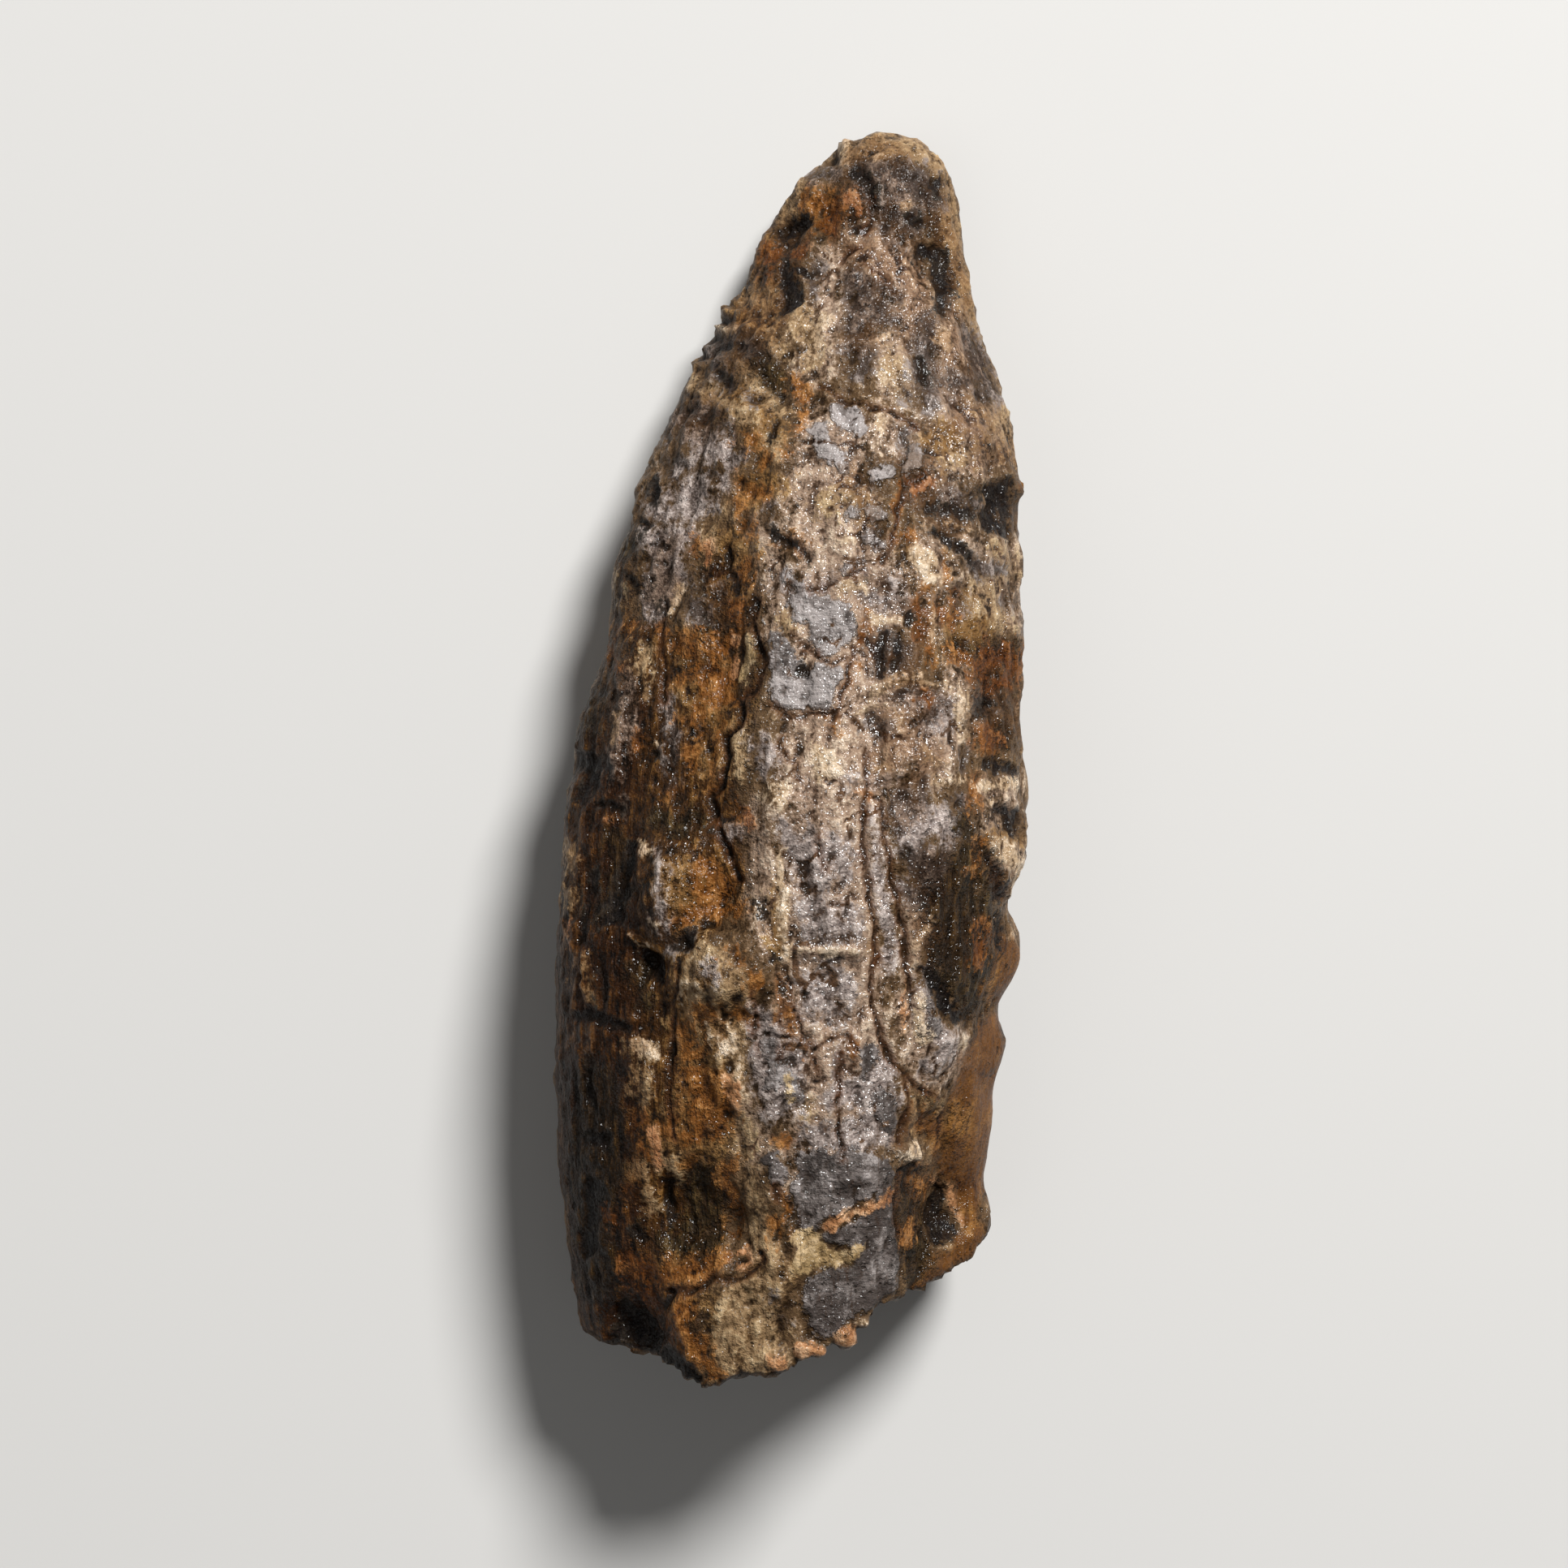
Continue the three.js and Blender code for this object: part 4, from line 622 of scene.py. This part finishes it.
def strokeGap(x, y, stroke):
    # distance from the edge of a stroke, negative inside it
    gap = np.full(len(x), 1e9)
    for (x0, y0, r0), (x1, y1, r1) in zip(stroke, stroke[1:] or stroke):
        dx, dy = x1 - x0, y1 - y0
        t = np.clip(((x - x0) * dx + (y - y0) * dy) / max(dx * dx + dy * dy, 1e-9), 0, 1)
        gap = np.minimum(gap, np.hypot(x - x0 - t * dx, y - y0 - t * dy) - (r0 + t * (r1 - r0)))
    return gap


def marksGap(x, y, strokes):
    # marks are in tenths of a mm
    return 0.1 * np.min([strokeGap(10 * x, 10 * y, stroke) for stroke in strokes], axis=0)


def lineGap(x, y, points):
    return strokeGap(x, y, [(px, py, 0) for px, py in points])


def noiseField(points, scale, seed, octaves):
    # lies between about -1 and 1
    scaled = points / np.array(scale) + seed * 17.3
    if octaves == 1:
        return np.array([noise.noise(p) for p in scaled])
    return np.array([noise.fractal(p, 0.9, 2.1, octaves) for p in scaled])


def cellField(points, scale, seed):
    # distance to the nearest grain and to the border between two grains
    scaled = points / np.array(scale) + seed * 11.7
    pairs = np.array([noise.voronoi(p)[0][:2] for p in scaled])
    return pairs[:, 0], pairs[:, 1] - pairs[:, 0]


def skinMesh():
    bm = bmesh.new()
    bm.from_mesh(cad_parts["tooth"].data)
    bmesh.ops.remove_doubles(bm, verts=bm.verts, dist=1e-7)
    mesh = bpy.data.meshes.new("crownSkin")
    bm.to_mesh(mesh)
    bm.free()
    rough = bpy.data.objects.new("crownSkin", mesh)
    bpy.context.scene.collection.objects.link(rough)
    remesh = rough.modifiers.new("evenSkin", "REMESH")
    remesh.mode = "VOXEL"
    remesh.voxel_size = crown["voxel"] * mm
    bpy.context.view_layer.update()
    even = bpy.data.meshes.new_from_object(rough.evaluated_get(bpy.context.evaluated_depsgraph_get()))
    bpy.data.objects.remove(rough)
    return even


def smoothSkin(bm, passes):
    axes = {"use_axis_x": True, "use_axis_y": True, "use_axis_z": True}
    for _ in range(passes):
        bmesh.ops.smooth_vert(bm, verts=bm.verts, factor=0.5, **axes)
    bm.normal_update()


def dividedSkin():
    # the upper face gets the finer mesh
    bm = bmesh.new()
    bm.from_mesh(skinMesh())
    smoothSkin(bm, crown["smoothPasses"])
    edges = list({e for f in bm.faces if f.normal.z > crown["upperSlope"] for e in f.edges})
    bmesh.ops.subdivide_edges(bm, edges=edges, cuts=1, use_grid_fill=True)
    smoothSkin(bm, crown["upperPasses"])
    mesh = bpy.data.meshes.new("toothCrown")
    bm.to_mesh(mesh)
    bm.free()
    return mesh


def readVectors(items, name):
    flat = np.empty(len(items) * 3)
    items.foreach_get(name, flat)
    return flat.reshape(-1, 3)


def addAttribute(mesh, name, values):
    attribute = mesh.attributes.new(name, "FLOAT", "POINT")
    attribute.data.foreach_set("value", np.clip(values, 0, 1).astype(np.float32))


def seenFromEye(points):
    nearness = (eye["z"] - eye["level"]) / (eye["z"] - points[:, 2])
    across, along = eye["axis"]
    return (points[:, 0] - eye["x"]) * nearness + across, (points[:, 1] - eye["y"]) * nearness + along


def upperRelief(x, y, fields):
    height = np.zeros(len(x))
    uneven = 1 + 0.7 * fields["warpX"]
    for width, path in cracks:
        gap = lineGap(x, y, path)
        height -= crackShape["depth"] * width * uneven * bell(gap, crackShape["groove"] * width)
        height += crackShape["lip"] * width * bell(gap - crackShape["lipAt"] * width, width)
    for rise, width, path in ridges:
        height += rise * uneven * bell(lineGap(x, y, path), width)
    for middle, reach, rise in smallForms:
        height += rise * mound(x, y, middle, reach)
    inStrip = np.exp(-(lineGap(x, y, strip["path"]) / strip["reach"]) ** 4)
    ripples = np.sin(2 * math.pi * y / strip["pitch"] + 3 * fields["wander"])
    return height + inStrip * (strip["rise"] + strip["ripple"] * ripples)


def highPass(mesh, height, passes):
    # how far each point stands above the mean of its neighbourhood
    ends = np.empty(len(mesh.edges) * 2, np.int64)
    mesh.edges.foreach_get("vertices", ends)
    a, b = ends[0::2], ends[1::2]
    count = np.bincount(ends, minlength=len(height))
    level = height
    for _ in range(passes):
        around = np.bincount(a, level[b], len(height)) + np.bincount(b, level[a], len(height))
        level = 0.5 * level + 0.5 * around / count
    return height - level


def shapedCrown():
    mesh = dividedSkin()
    points = readVectors(mesh.vertices, "co") / mm
    normals = readVectors(mesh.vertex_normals, "vector")
    for middle, radius, (dx, dy) in nudges:
        near = mound(points[:, 0], points[:, 1], middle, (radius, radius))
        points[:, 0] += dx * near
        points[:, 1] += dy * near
    triangles = sum(len(face.vertices) - 2 for face in mesh.polygons)
    print("crown skin", len(points), "vertices", triangles, "triangles")

    fields = {name: noiseField(points, *setting) for name, setting in skinNoise.items()}
    lumps, _ = cellField(points, *skinCells["lumps"])
    stray = np.stack([fields[name] for name in ("warpX", "warpY", "wander")], axis=1)
    _, seams = cellField(points + crown["seamWarp"] * stray, *skinCells["seams"])
    up = smoothstep(-0.1, 0.1, normals[:, 2])
    rim = 1 - np.abs(2 * up - 1)  # 1 on the edge between the two faces
    broken = smoothstep(0.45, 0.75, -normals[:, 1]) * smoothstep(*crown["brokenEnd"], points[:, 1])
    x, y = seenFromEye(points)
    x += crown["unevenness"] * fields["warpX"]
    y += crown["unevenness"] * fields["warpY"]

    # distances from each class of marks, and how much of it there is with a crisp or a soft edge
    gaps = {}
    for name, strokes in upperMarks.items():
        above, below = marksGap(x, y, strokes), marksGap(x, y, lowerMarks[name])
        gaps[name] = np.where(normals[:, 2] > 0, above, below) + crown["rimGap"] * rim
    gaps["crack"] = np.min([lineGap(x, y, path) - 0.5 * width for width, path in cracks], axis=0)
    gaps["crack"] += crown["span"] * (1 - up)  # none on the lower face
    crisp = {name: smoothstep(crown["crispEdge"], -crown["crispEdge"], gap) for name, gap in gaps.items()}
    soft = {name: smoothstep(crown["softEdge"], -crown["softEdge"], gap) for name, gap in gaps.items()}

    height = crown["regrowth"] + up * upperRelief(x, y, fields)
    height += sum(rise * crisp[name] for name, rise in markHeights.items())
    plain = (1 - crisp["slate"]) * (1 - soft["amber"]) * (1 - broken)
    height += crown["grainHeight"] * fields["grain"] * (0.3 + 0.7 * plain)
    granular = 0.12 + 0.8 * np.maximum(soft["flank"], soft["ochre"])
    height += crown["lumpHeight"] * (0.45 - lumps) * plain * granular
    seam = bell(seams, crown["seamWidth"]) * soft["enamel"] * smoothstep(-0.2, 0.3, fields["wander"])
    height -= crown["seamDepth"] * seam  # fine seams where the enamel has crazed
    fibrous = 0.3 + soft["flank"] + 0.6 * soft["olive"] + 0.1 * soft["amber"]
    height += crown["fibreHeight"] * fields["fibre"] * fibrous
    # terraces where thin layers of enamel have flaked off
    level = fields["plates"] * crown["terraceLevels"]
    terrace = np.floor(level) + smoothstep(0.45, 0.55, level - np.floor(level))
    height += crown["terraceHeight"] * terrace * (1 - 0.75 * soft["flank"]) * (1 - soft["amber"])
    crumple = sum(strength * mound(x, y, middle, reach) for middle, reach, strength in crown["crumples"])
    height += crown["crumpleHeight"] * (1 - 2.4 * np.abs(fields["crumple"])) * crumple * up
    height += crown["brokenHeight"] * broken * fields["warpX"]
    first, last = crown["serrations"]
    front = bell(normals[:, 2] - 0.1, 0.45) * smoothstep(0.2, 0.6, -normals[:, 0])
    front *= smoothstep(first, first + 0.6, y) * smoothstep(last, last - 0.6, y)
    height += crown["serrationHeight"] * front * np.sin(2 * math.pi * y / crown["serrationPitch"])
    height *= smoothstep(0, crown["restHeight"], points[:, 2])

    points = points + normals * height[:, None]
    points[:, 2] = np.maximum(points[:, 2], 0)
    mesh.vertices.foreach_set("co", (points * mm).ravel())
    gaps["broken"] = crown["span"] * (0.5 - broken)
    gaps["seam"] = 1.2 * (0.5 - seam)
    for name, gap in gaps.items():
        addAttribute(mesh, name, 0.5 - gap / crown["span"])  # 0.5 on the edge of a mark
    addAttribute(mesh, "hollow", 0.5 - 2.2 * highPass(mesh, height, crown["reliefPasses"]))
    mesh.polygons.foreach_set("use_smooth", np.ones(len(mesh.polygons), bool))
    mesh.update()
    return mesh


# Finish of the fossil: colours are linear, dark, middle and light, and fine grain varies between them
finish = {
    "ground": ((0.022, 0.011, 0.004), (0.105, 0.060, 0.028), (0.27, 0.175, 0.095)),
    "enamel": ((0.078, 0.041, 0.024), (0.325, 0.220, 0.150), (0.63, 0.490, 0.360)),
    "lilac": ((0.070, 0.050, 0.042), (0.240, 0.190, 0.166), (0.49, 0.41, 0.365)),
    # the flank colours are dark partly as painted shade on the side turned from the light
    "flank": ((0.005, 0.002, 0.0004), (0.046, 0.018, 0.004), (0.185, 0.088, 0.024)),
    "tan": ((0.085, 0.046, 0.019), (0.27, 0.170, 0.085), (0.48, 0.34, 0.19)),
    "slate": ((0.060, 0.047, 0.041), (0.155, 0.130, 0.118), (0.33, 0.290, 0.272)),
    "smoke": ((0.008, 0.005, 0.004), (0.058, 0.040, 0.031), (0.28, 0.225, 0.195)),
    "olive": ((0.007, 0.004, 0.001), (0.030, 0.017, 0.006), (0.095, 0.057, 0.020)),
    "rust": ((0.036, 0.010, 0.002), (0.162, 0.058, 0.011), (0.35, 0.158, 0.046)),
    "cream": ((0.21, 0.128, 0.066), (0.43, 0.300, 0.180), (0.68, 0.535, 0.385)),
    "straw": ((0.19, 0.120, 0.050), (0.36, 0.240, 0.112), (0.50, 0.36, 0.20)),
    "salmon": ((0.19, 0.075, 0.028), (0.41, 0.195, 0.085), (0.60, 0.36, 0.20)),
    "amber": ((0.034, 0.011, 0.002), (0.118, 0.046, 0.010), (0.24, 0.110, 0.028)),
    "ochre": ((0.045, 0.019, 0.005), (0.19, 0.098, 0.032), (0.37, 0.225, 0.092)),
    "black": ((0.003, 0.002, 0.002), (0.008, 0.005, 0.004), (0.028, 0.019, 0.012)),
    "seam": ((0.020, 0.009, 0.004), (0.070, 0.034, 0.016), (0.15, 0.080, 0.040)),
    "crack": ((0.008, 0.003, 0.001), (0.032, 0.012, 0.004), (0.095, 0.036, 0.012)),
    "broken": ((0.010, 0.005, 0.002), (0.050, 0.026, 0.010), (0.14, 0.080, 0.036)),
    "stops": (0.39, 0.5, 0.61),  # where the three colours lie in the grain
    "hairs": (0.045, 0.020, 0.008),  # hairlines along the grain
    "hairStrength": 0.45,
    "fringe": (0.115, 0.042, 0.013),  # rust beside the cracks
    "fringeStrength": 0.5,
    "filmAndShade": (0.60, 0.50, 0.41),  # multiplies what lies under the wash: a brown film, and painted shade
    "pits": (0.018, 0.010, 0.005),
    "pitStrength": 0.6,
    "dirtAndShade": (0.020, 0.010, 0.004),  # in the hollows: dirt, and painted shade
    "specular": 0.05,
    "coat": 0.11,
    "enamelCoat": 0.22,  # more on the enamel
    "coatRoughness": 0.11,
    "coatIOR": 2.1,
    "bumpDistance": 0.8,  # mm
}

# Coats from the lowest up: the mark, the grain that shades it, how far grain moves its edge
# and how soft that edge is, in mm
layers = [
    ("enamel", "tone", 2.4, 1.0), ("flank", "streak", 1.8, 0.7), ("ochre", "tone", 2.0, 0.6),
    ("tan", "tone", 1.4, 0.4), ("smoke", "tone", 1.3, 0.4), ("lilac", "bloom", 1.6, 0.5),
    ("olive", "streak", 1.1, 0.4), ("rust", "tone", 1.4, 0.4), ("slate", "flake", 0.55, 0.12),
    ("cream", "tone", 0.7, 0.2), ("straw", "calm", 0.5, 0.12), ("salmon", "calm", 0.5, 0.15),
    ("amber", "dentine", 0.6, 0.35), ("broken", "tone", 0.4, 0.5),
]


def fossilMaterial():
    material = bpy.data.materials.new("fossilTooth")
    material.use_nodes = True
    tree = material.node_tree
    shader = tree.nodes["Principled BSDF"]
    place = tree.nodes.new("ShaderNodeTexCoord").outputs["Object"]

    def node(kind, inputs=None, **settings):
        made = tree.nodes.new(kind)
        for name, value in settings.items():
            setattr(made, name, value)
        for name, value in (inputs or {}).items():
            if isinstance(value, bpy.types.NodeSocket):
                tree.links.new(value, made.inputs[name])
            else:
                made.inputs[name].default_value = value
        return made

    def grain(size, detail, stretch=(1, 1, 1), distortion=0.0, shift=0.0):
        # size is that of the largest features in mm
        scale = tuple(1 / (size * mm * s) for s in stretch)
        spot = {"Vector": place, "Scale": scale, "Location": (shift, shift, shift)}
        where = node("ShaderNodeMapping", spot)
        settings = {"Scale": 1.0, "Detail": detail, "Roughness": 0.62, "Distortion": distortion}
        return node("ShaderNodeTexNoise", {"Vector": where.outputs[0], **settings}).outputs["Fac"]

    def mark(name):
        return node("ShaderNodeAttribute", attribute_name=name).outputs["Fac"]

    def maths(operation, a, b=0.0, c=0.0):
        return node("ShaderNodeMath", {0: a, 1: b, 2: c}, operation=operation).outputs[0]

    def blend(*parts):
        # weighted sum of (value, weight) pairs
        total = 0.0
        for value, weight in parts:
            total = maths("MULTIPLY_ADD", value, weight, total)
        return total

    def ramp(value, low, high):
        return node("ShaderNodeMapRange", {"Value": value, "From Min": low, "From Max": high},
                    interpolation_type="SMOOTHSTEP").outputs[0]

    def mix(factor, a, b, kind="MIX"):
        made = node("ShaderNodeMix", data_type="RGBA", blend_type=kind)
        for socket, value in ((made.inputs[0], factor), (made.inputs[6], a), (made.inputs[7], b)):
            if isinstance(value, bpy.types.NodeSocket):
                tree.links.new(value, socket)
            else:
                socket.default_value = (*value, 1) if isinstance(value, tuple) else value
        return made.outputs[2]

    def shade(name, variation):
        made = node("ShaderNodeValToRGB", {"Fac": variation})
        elements = made.color_ramp.elements
        made.color_ramp.interpolation = "EASE"
        for stop, colour in zip(finish["stops"], finish[name]):
            elements.new(stop).color = (*colour, 1)
        elements.remove(elements[-1])
        elements.remove(elements[0])
        return made.outputs["Color"]

    speck = grain(0.32, 3)
    mottle = grain(1.0, 5, (1, 1.7, 1))
    blotch = grain(1.7, 4, shift=31.0)
    cloud = grain(5.0, 3, shift=7.0)
    fibres = grain(0.45, 3, (1, 8, 1), 0.3)
    ripples = grain(0.55, 2, (2.6, 0.7, 2.6), 0.8)
    pocks = grain(0.55, 2, shift=3.0)
    fine = grain(0.17, 2, shift=9.0)
    crinkle = grain(0.5, 3, (1.2, 0.8, 1.2), 1.4, 17.0)
    hollow = mark("hollow")
    # painted shade and light, with dirt and wear: depth makes the grains below darker in the hollows and
    # lighter on the crests
    depth = maths("SUBTRACT", 0.5, hollow)
    mottled = maths("SUBTRACT", mottle, 0.5)
    specked = maths("SUBTRACT", speck, 0.5)
    along = node("ShaderNodeSeparateXYZ", {"Vector": place}).outputs["Y"]

    tone = blend((mottle, 0.56), (speck, 0.30), (fine, 0.14), (depth, 0.2))
    calm = blend((blotch, 0.7), (speck, 0.3), (depth, 0.1))
    grains = {
        "tone": tone,
        "streak": blend((fibres, 0.45), (mottle, 0.3), (speck, 0.15), (fine, 0.1), (depth, 0.22)),
        "calm": calm,
        "bloom": blend((crinkle, 0.45), (mottle, 0.3), (fine, 0.25), (depth, 0.3)),
        "flake": blend((calm, 1.2), (along, 3.6), (1.0, -0.07)),
        "dentine": blend((fibres, 0.2), (blotch, 0.4), (cloud, 0.4)),
    }

    def paint(base, name, kind, wobble, softness):
        edge = blend((mottled, wobble), (specked, 0.5 * wobble), (mark(name), 1.0))
        softness /= crown["span"]
        cover = ramp(edge, 0.5 - softness, 0.5 + softness)
        return mix(cover, base, shade(name, grains[kind])), cover

    colour = shade("ground", blend((tone, 0.75), (cloud, 0.25)))
    covers = {}
    for name, *setting in layers:
        colour, covers[name] = paint(colour, name, *setting)
    enamel, slate = covers["enamel"], covers["slate"]
    hairs = ramp(grain(0.3, 3, (1, 12, 1), 0.4, 5.0), 0.42, 0.34)
    colour = mix(maths("MULTIPLY", hairs, finish["hairStrength"]), colour, finish["hairs"])
    colour, _ = paint(colour, "seam", "tone", 0.4, 0.25)
    fringe = ramp(blend((mark("crack"), 1.0), (mottled, 0.5)), 0.36, 0.52)
    colour = mix(maths("MULTIPLY", fringe, finish["fringeStrength"]), colour, finish["fringe"])
    # painted shade: the wash darkens the tip, the right edge and the front flank as well as laying a brown
    # film
    filmAndShade = ramp(blend((mark("washAndShade"), 1.0), (mottled, 1.6)), 0.3, 0.7)
    colour = mix(filmAndShade, colour, finish["filmAndShade"], "MULTIPLY")
    colour, _ = paint(colour, "black", "tone", 0.9, 0.25)
    colour, _ = paint(colour, "crack", "tone", 0.35, 0.14)
    # brown dirt in pits, and in the hollows dirt with painted shade; less of both on the enamel
    pits = maths("MULTIPLY", ramp(pocks, 0.36, 0.28), blend((enamel, -0.75), (1.0, 1.0)))
    colour = mix(maths("MULTIPLY", pits, finish["pitStrength"]), colour, finish["pits"])
    dirtAndShade = maths("MULTIPLY", ramp(hollow, 0.55, 0.86), blend((enamel, -0.2), (1.0, 0.8)))
    colour = mix(dirtAndShade, colour, finish["dirtAndShade"])
    tree.links.new(colour, shader.inputs["Base Color"])

    rough = blend((mottle, 0.5), (slate, -0.06), (pits, 0.2), (ramp(hollow, 0.5, 0.7), 0.15), (1.0, 0.12))
    tree.links.new(rough, shader.inputs["Roughness"])

    def bump(height, socket):
        distance = finish["bumpDistance"] * mm
        made = node("ShaderNodeBump", {"Height": height, "Strength": 1.0, "Distance": distance})
        tree.links.new(made.outputs[0], shader.inputs[socket])

    rippled = maths("MULTIPLY", ripples, slate)
    fibrous = maths("MULTIPLY", fibres, maths("ADD", covers["flank"], covers["olive"]))
    bump(blend((speck, 0.20), (fine, 0.08), (mottle, 0.35), (pits, -0.10), (rippled, 0.12), (fibrous, 0.35),
               (slate, 0.06)), "Normal")
    # the coat has a smoother skin of its own, so its glints stay small
    glaze = grain(0.9, 1, (1, 1.6, 1), shift=41.0)
    bump(blend((grain(0.26, 1, shift=23.0), 0.26), (glaze, 0.42), (rippled, 0.16)), "Coat Normal")
    coat = blend((enamel, finish["enamelCoat"]), (1.0, finish["coat"]))
    tree.links.new(coat, shader.inputs["Coat Weight"])
    shader.inputs["Specular IOR Level"].default_value = finish["specular"]
    shader.inputs["Coat Roughness"].default_value = finish["coatRoughness"]
    shader.inputs["Coat IOR"].default_value = finish["coatIOR"]
    return material


tooth = bpy.data.objects.new("toothCrown", shapedCrown())
bpy.context.scene.collection.objects.link(tooth)
tooth.data.materials.append(fossilMaterial())
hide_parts("tooth")
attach(tooth, "root")
print("crown shaped and finished")

# Studio: a pale floor, a soft key from the upper right and a weaker fill, in metres and watts
studio = {
    "floor": (0.62, 0.61, 0.59),
    "floorSize": 1.5,
    "key": {"at": (0.34, 0.56, 0.64), "size": 0.28, "power": 13.6},
    "fill": {"at": (-0.5, -0.2, 0.8), "size": 0.8, "power": 0.7},
    "sky": 0.10,
    "lens": 100,
}


def addFloor():
    bm = bmesh.new()
    bmesh.ops.create_grid(bm, x_segments=1, y_segments=1, size=studio["floorSize"])
    mesh = bpy.data.meshes.new("studioFloor")
    bm.to_mesh(mesh)
    bm.free()
    floor = bpy.data.objects.new("studioFloor", mesh)
    bpy.context.scene.collection.objects.link(floor)
    paper = bpy.data.materials.new("paleFloor")
    paper.use_nodes = True
    inputs = paper.node_tree.nodes["Principled BSDF"].inputs
    inputs["Base Color"].default_value = (*studio["floor"], 1)
    inputs["Roughness"].default_value = 1
    inputs["Specular IOR Level"].default_value = 0
    mesh.materials.append(paper)


def addLight(name):
    setting = studio[name]
    light = bpy.data.lights.new(name, "AREA")
    light.shape = "DISK"
    light.size = setting["size"]
    light.energy = setting["power"]
    lamp = bpy.data.objects.new(name, light)
    lamp.location = setting["at"]
    lamp.rotation_euler = (-Vector(setting["at"])).to_track_quat("-Z", "Y").to_euler()
    bpy.context.scene.collection.objects.link(lamp)


addFloor()
addLight("key")
addLight("fill")
world = bpy.data.worlds.new("studioSky")
world.use_nodes = True
world.node_tree.nodes["Background"].inputs["Color"].default_value = (1, 1, 1, 1)
world.node_tree.nodes["Background"].inputs["Strength"].default_value = studio["sky"]
bpy.context.scene.world = world
bpy.context.scene.view_settings.view_transform = "Standard"

camera = bpy.data.objects.new("camera", bpy.data.cameras.new("camera"))
camera.data.lens = studio["lens"]
camera.data.clip_start = 0.01
camera.location = (eye["x"] * mm, eye["y"] * mm, eye["z"] * mm)
bpy.context.scene.collection.objects.link(camera)
bpy.context.scene.camera = camera
print("studio ready")
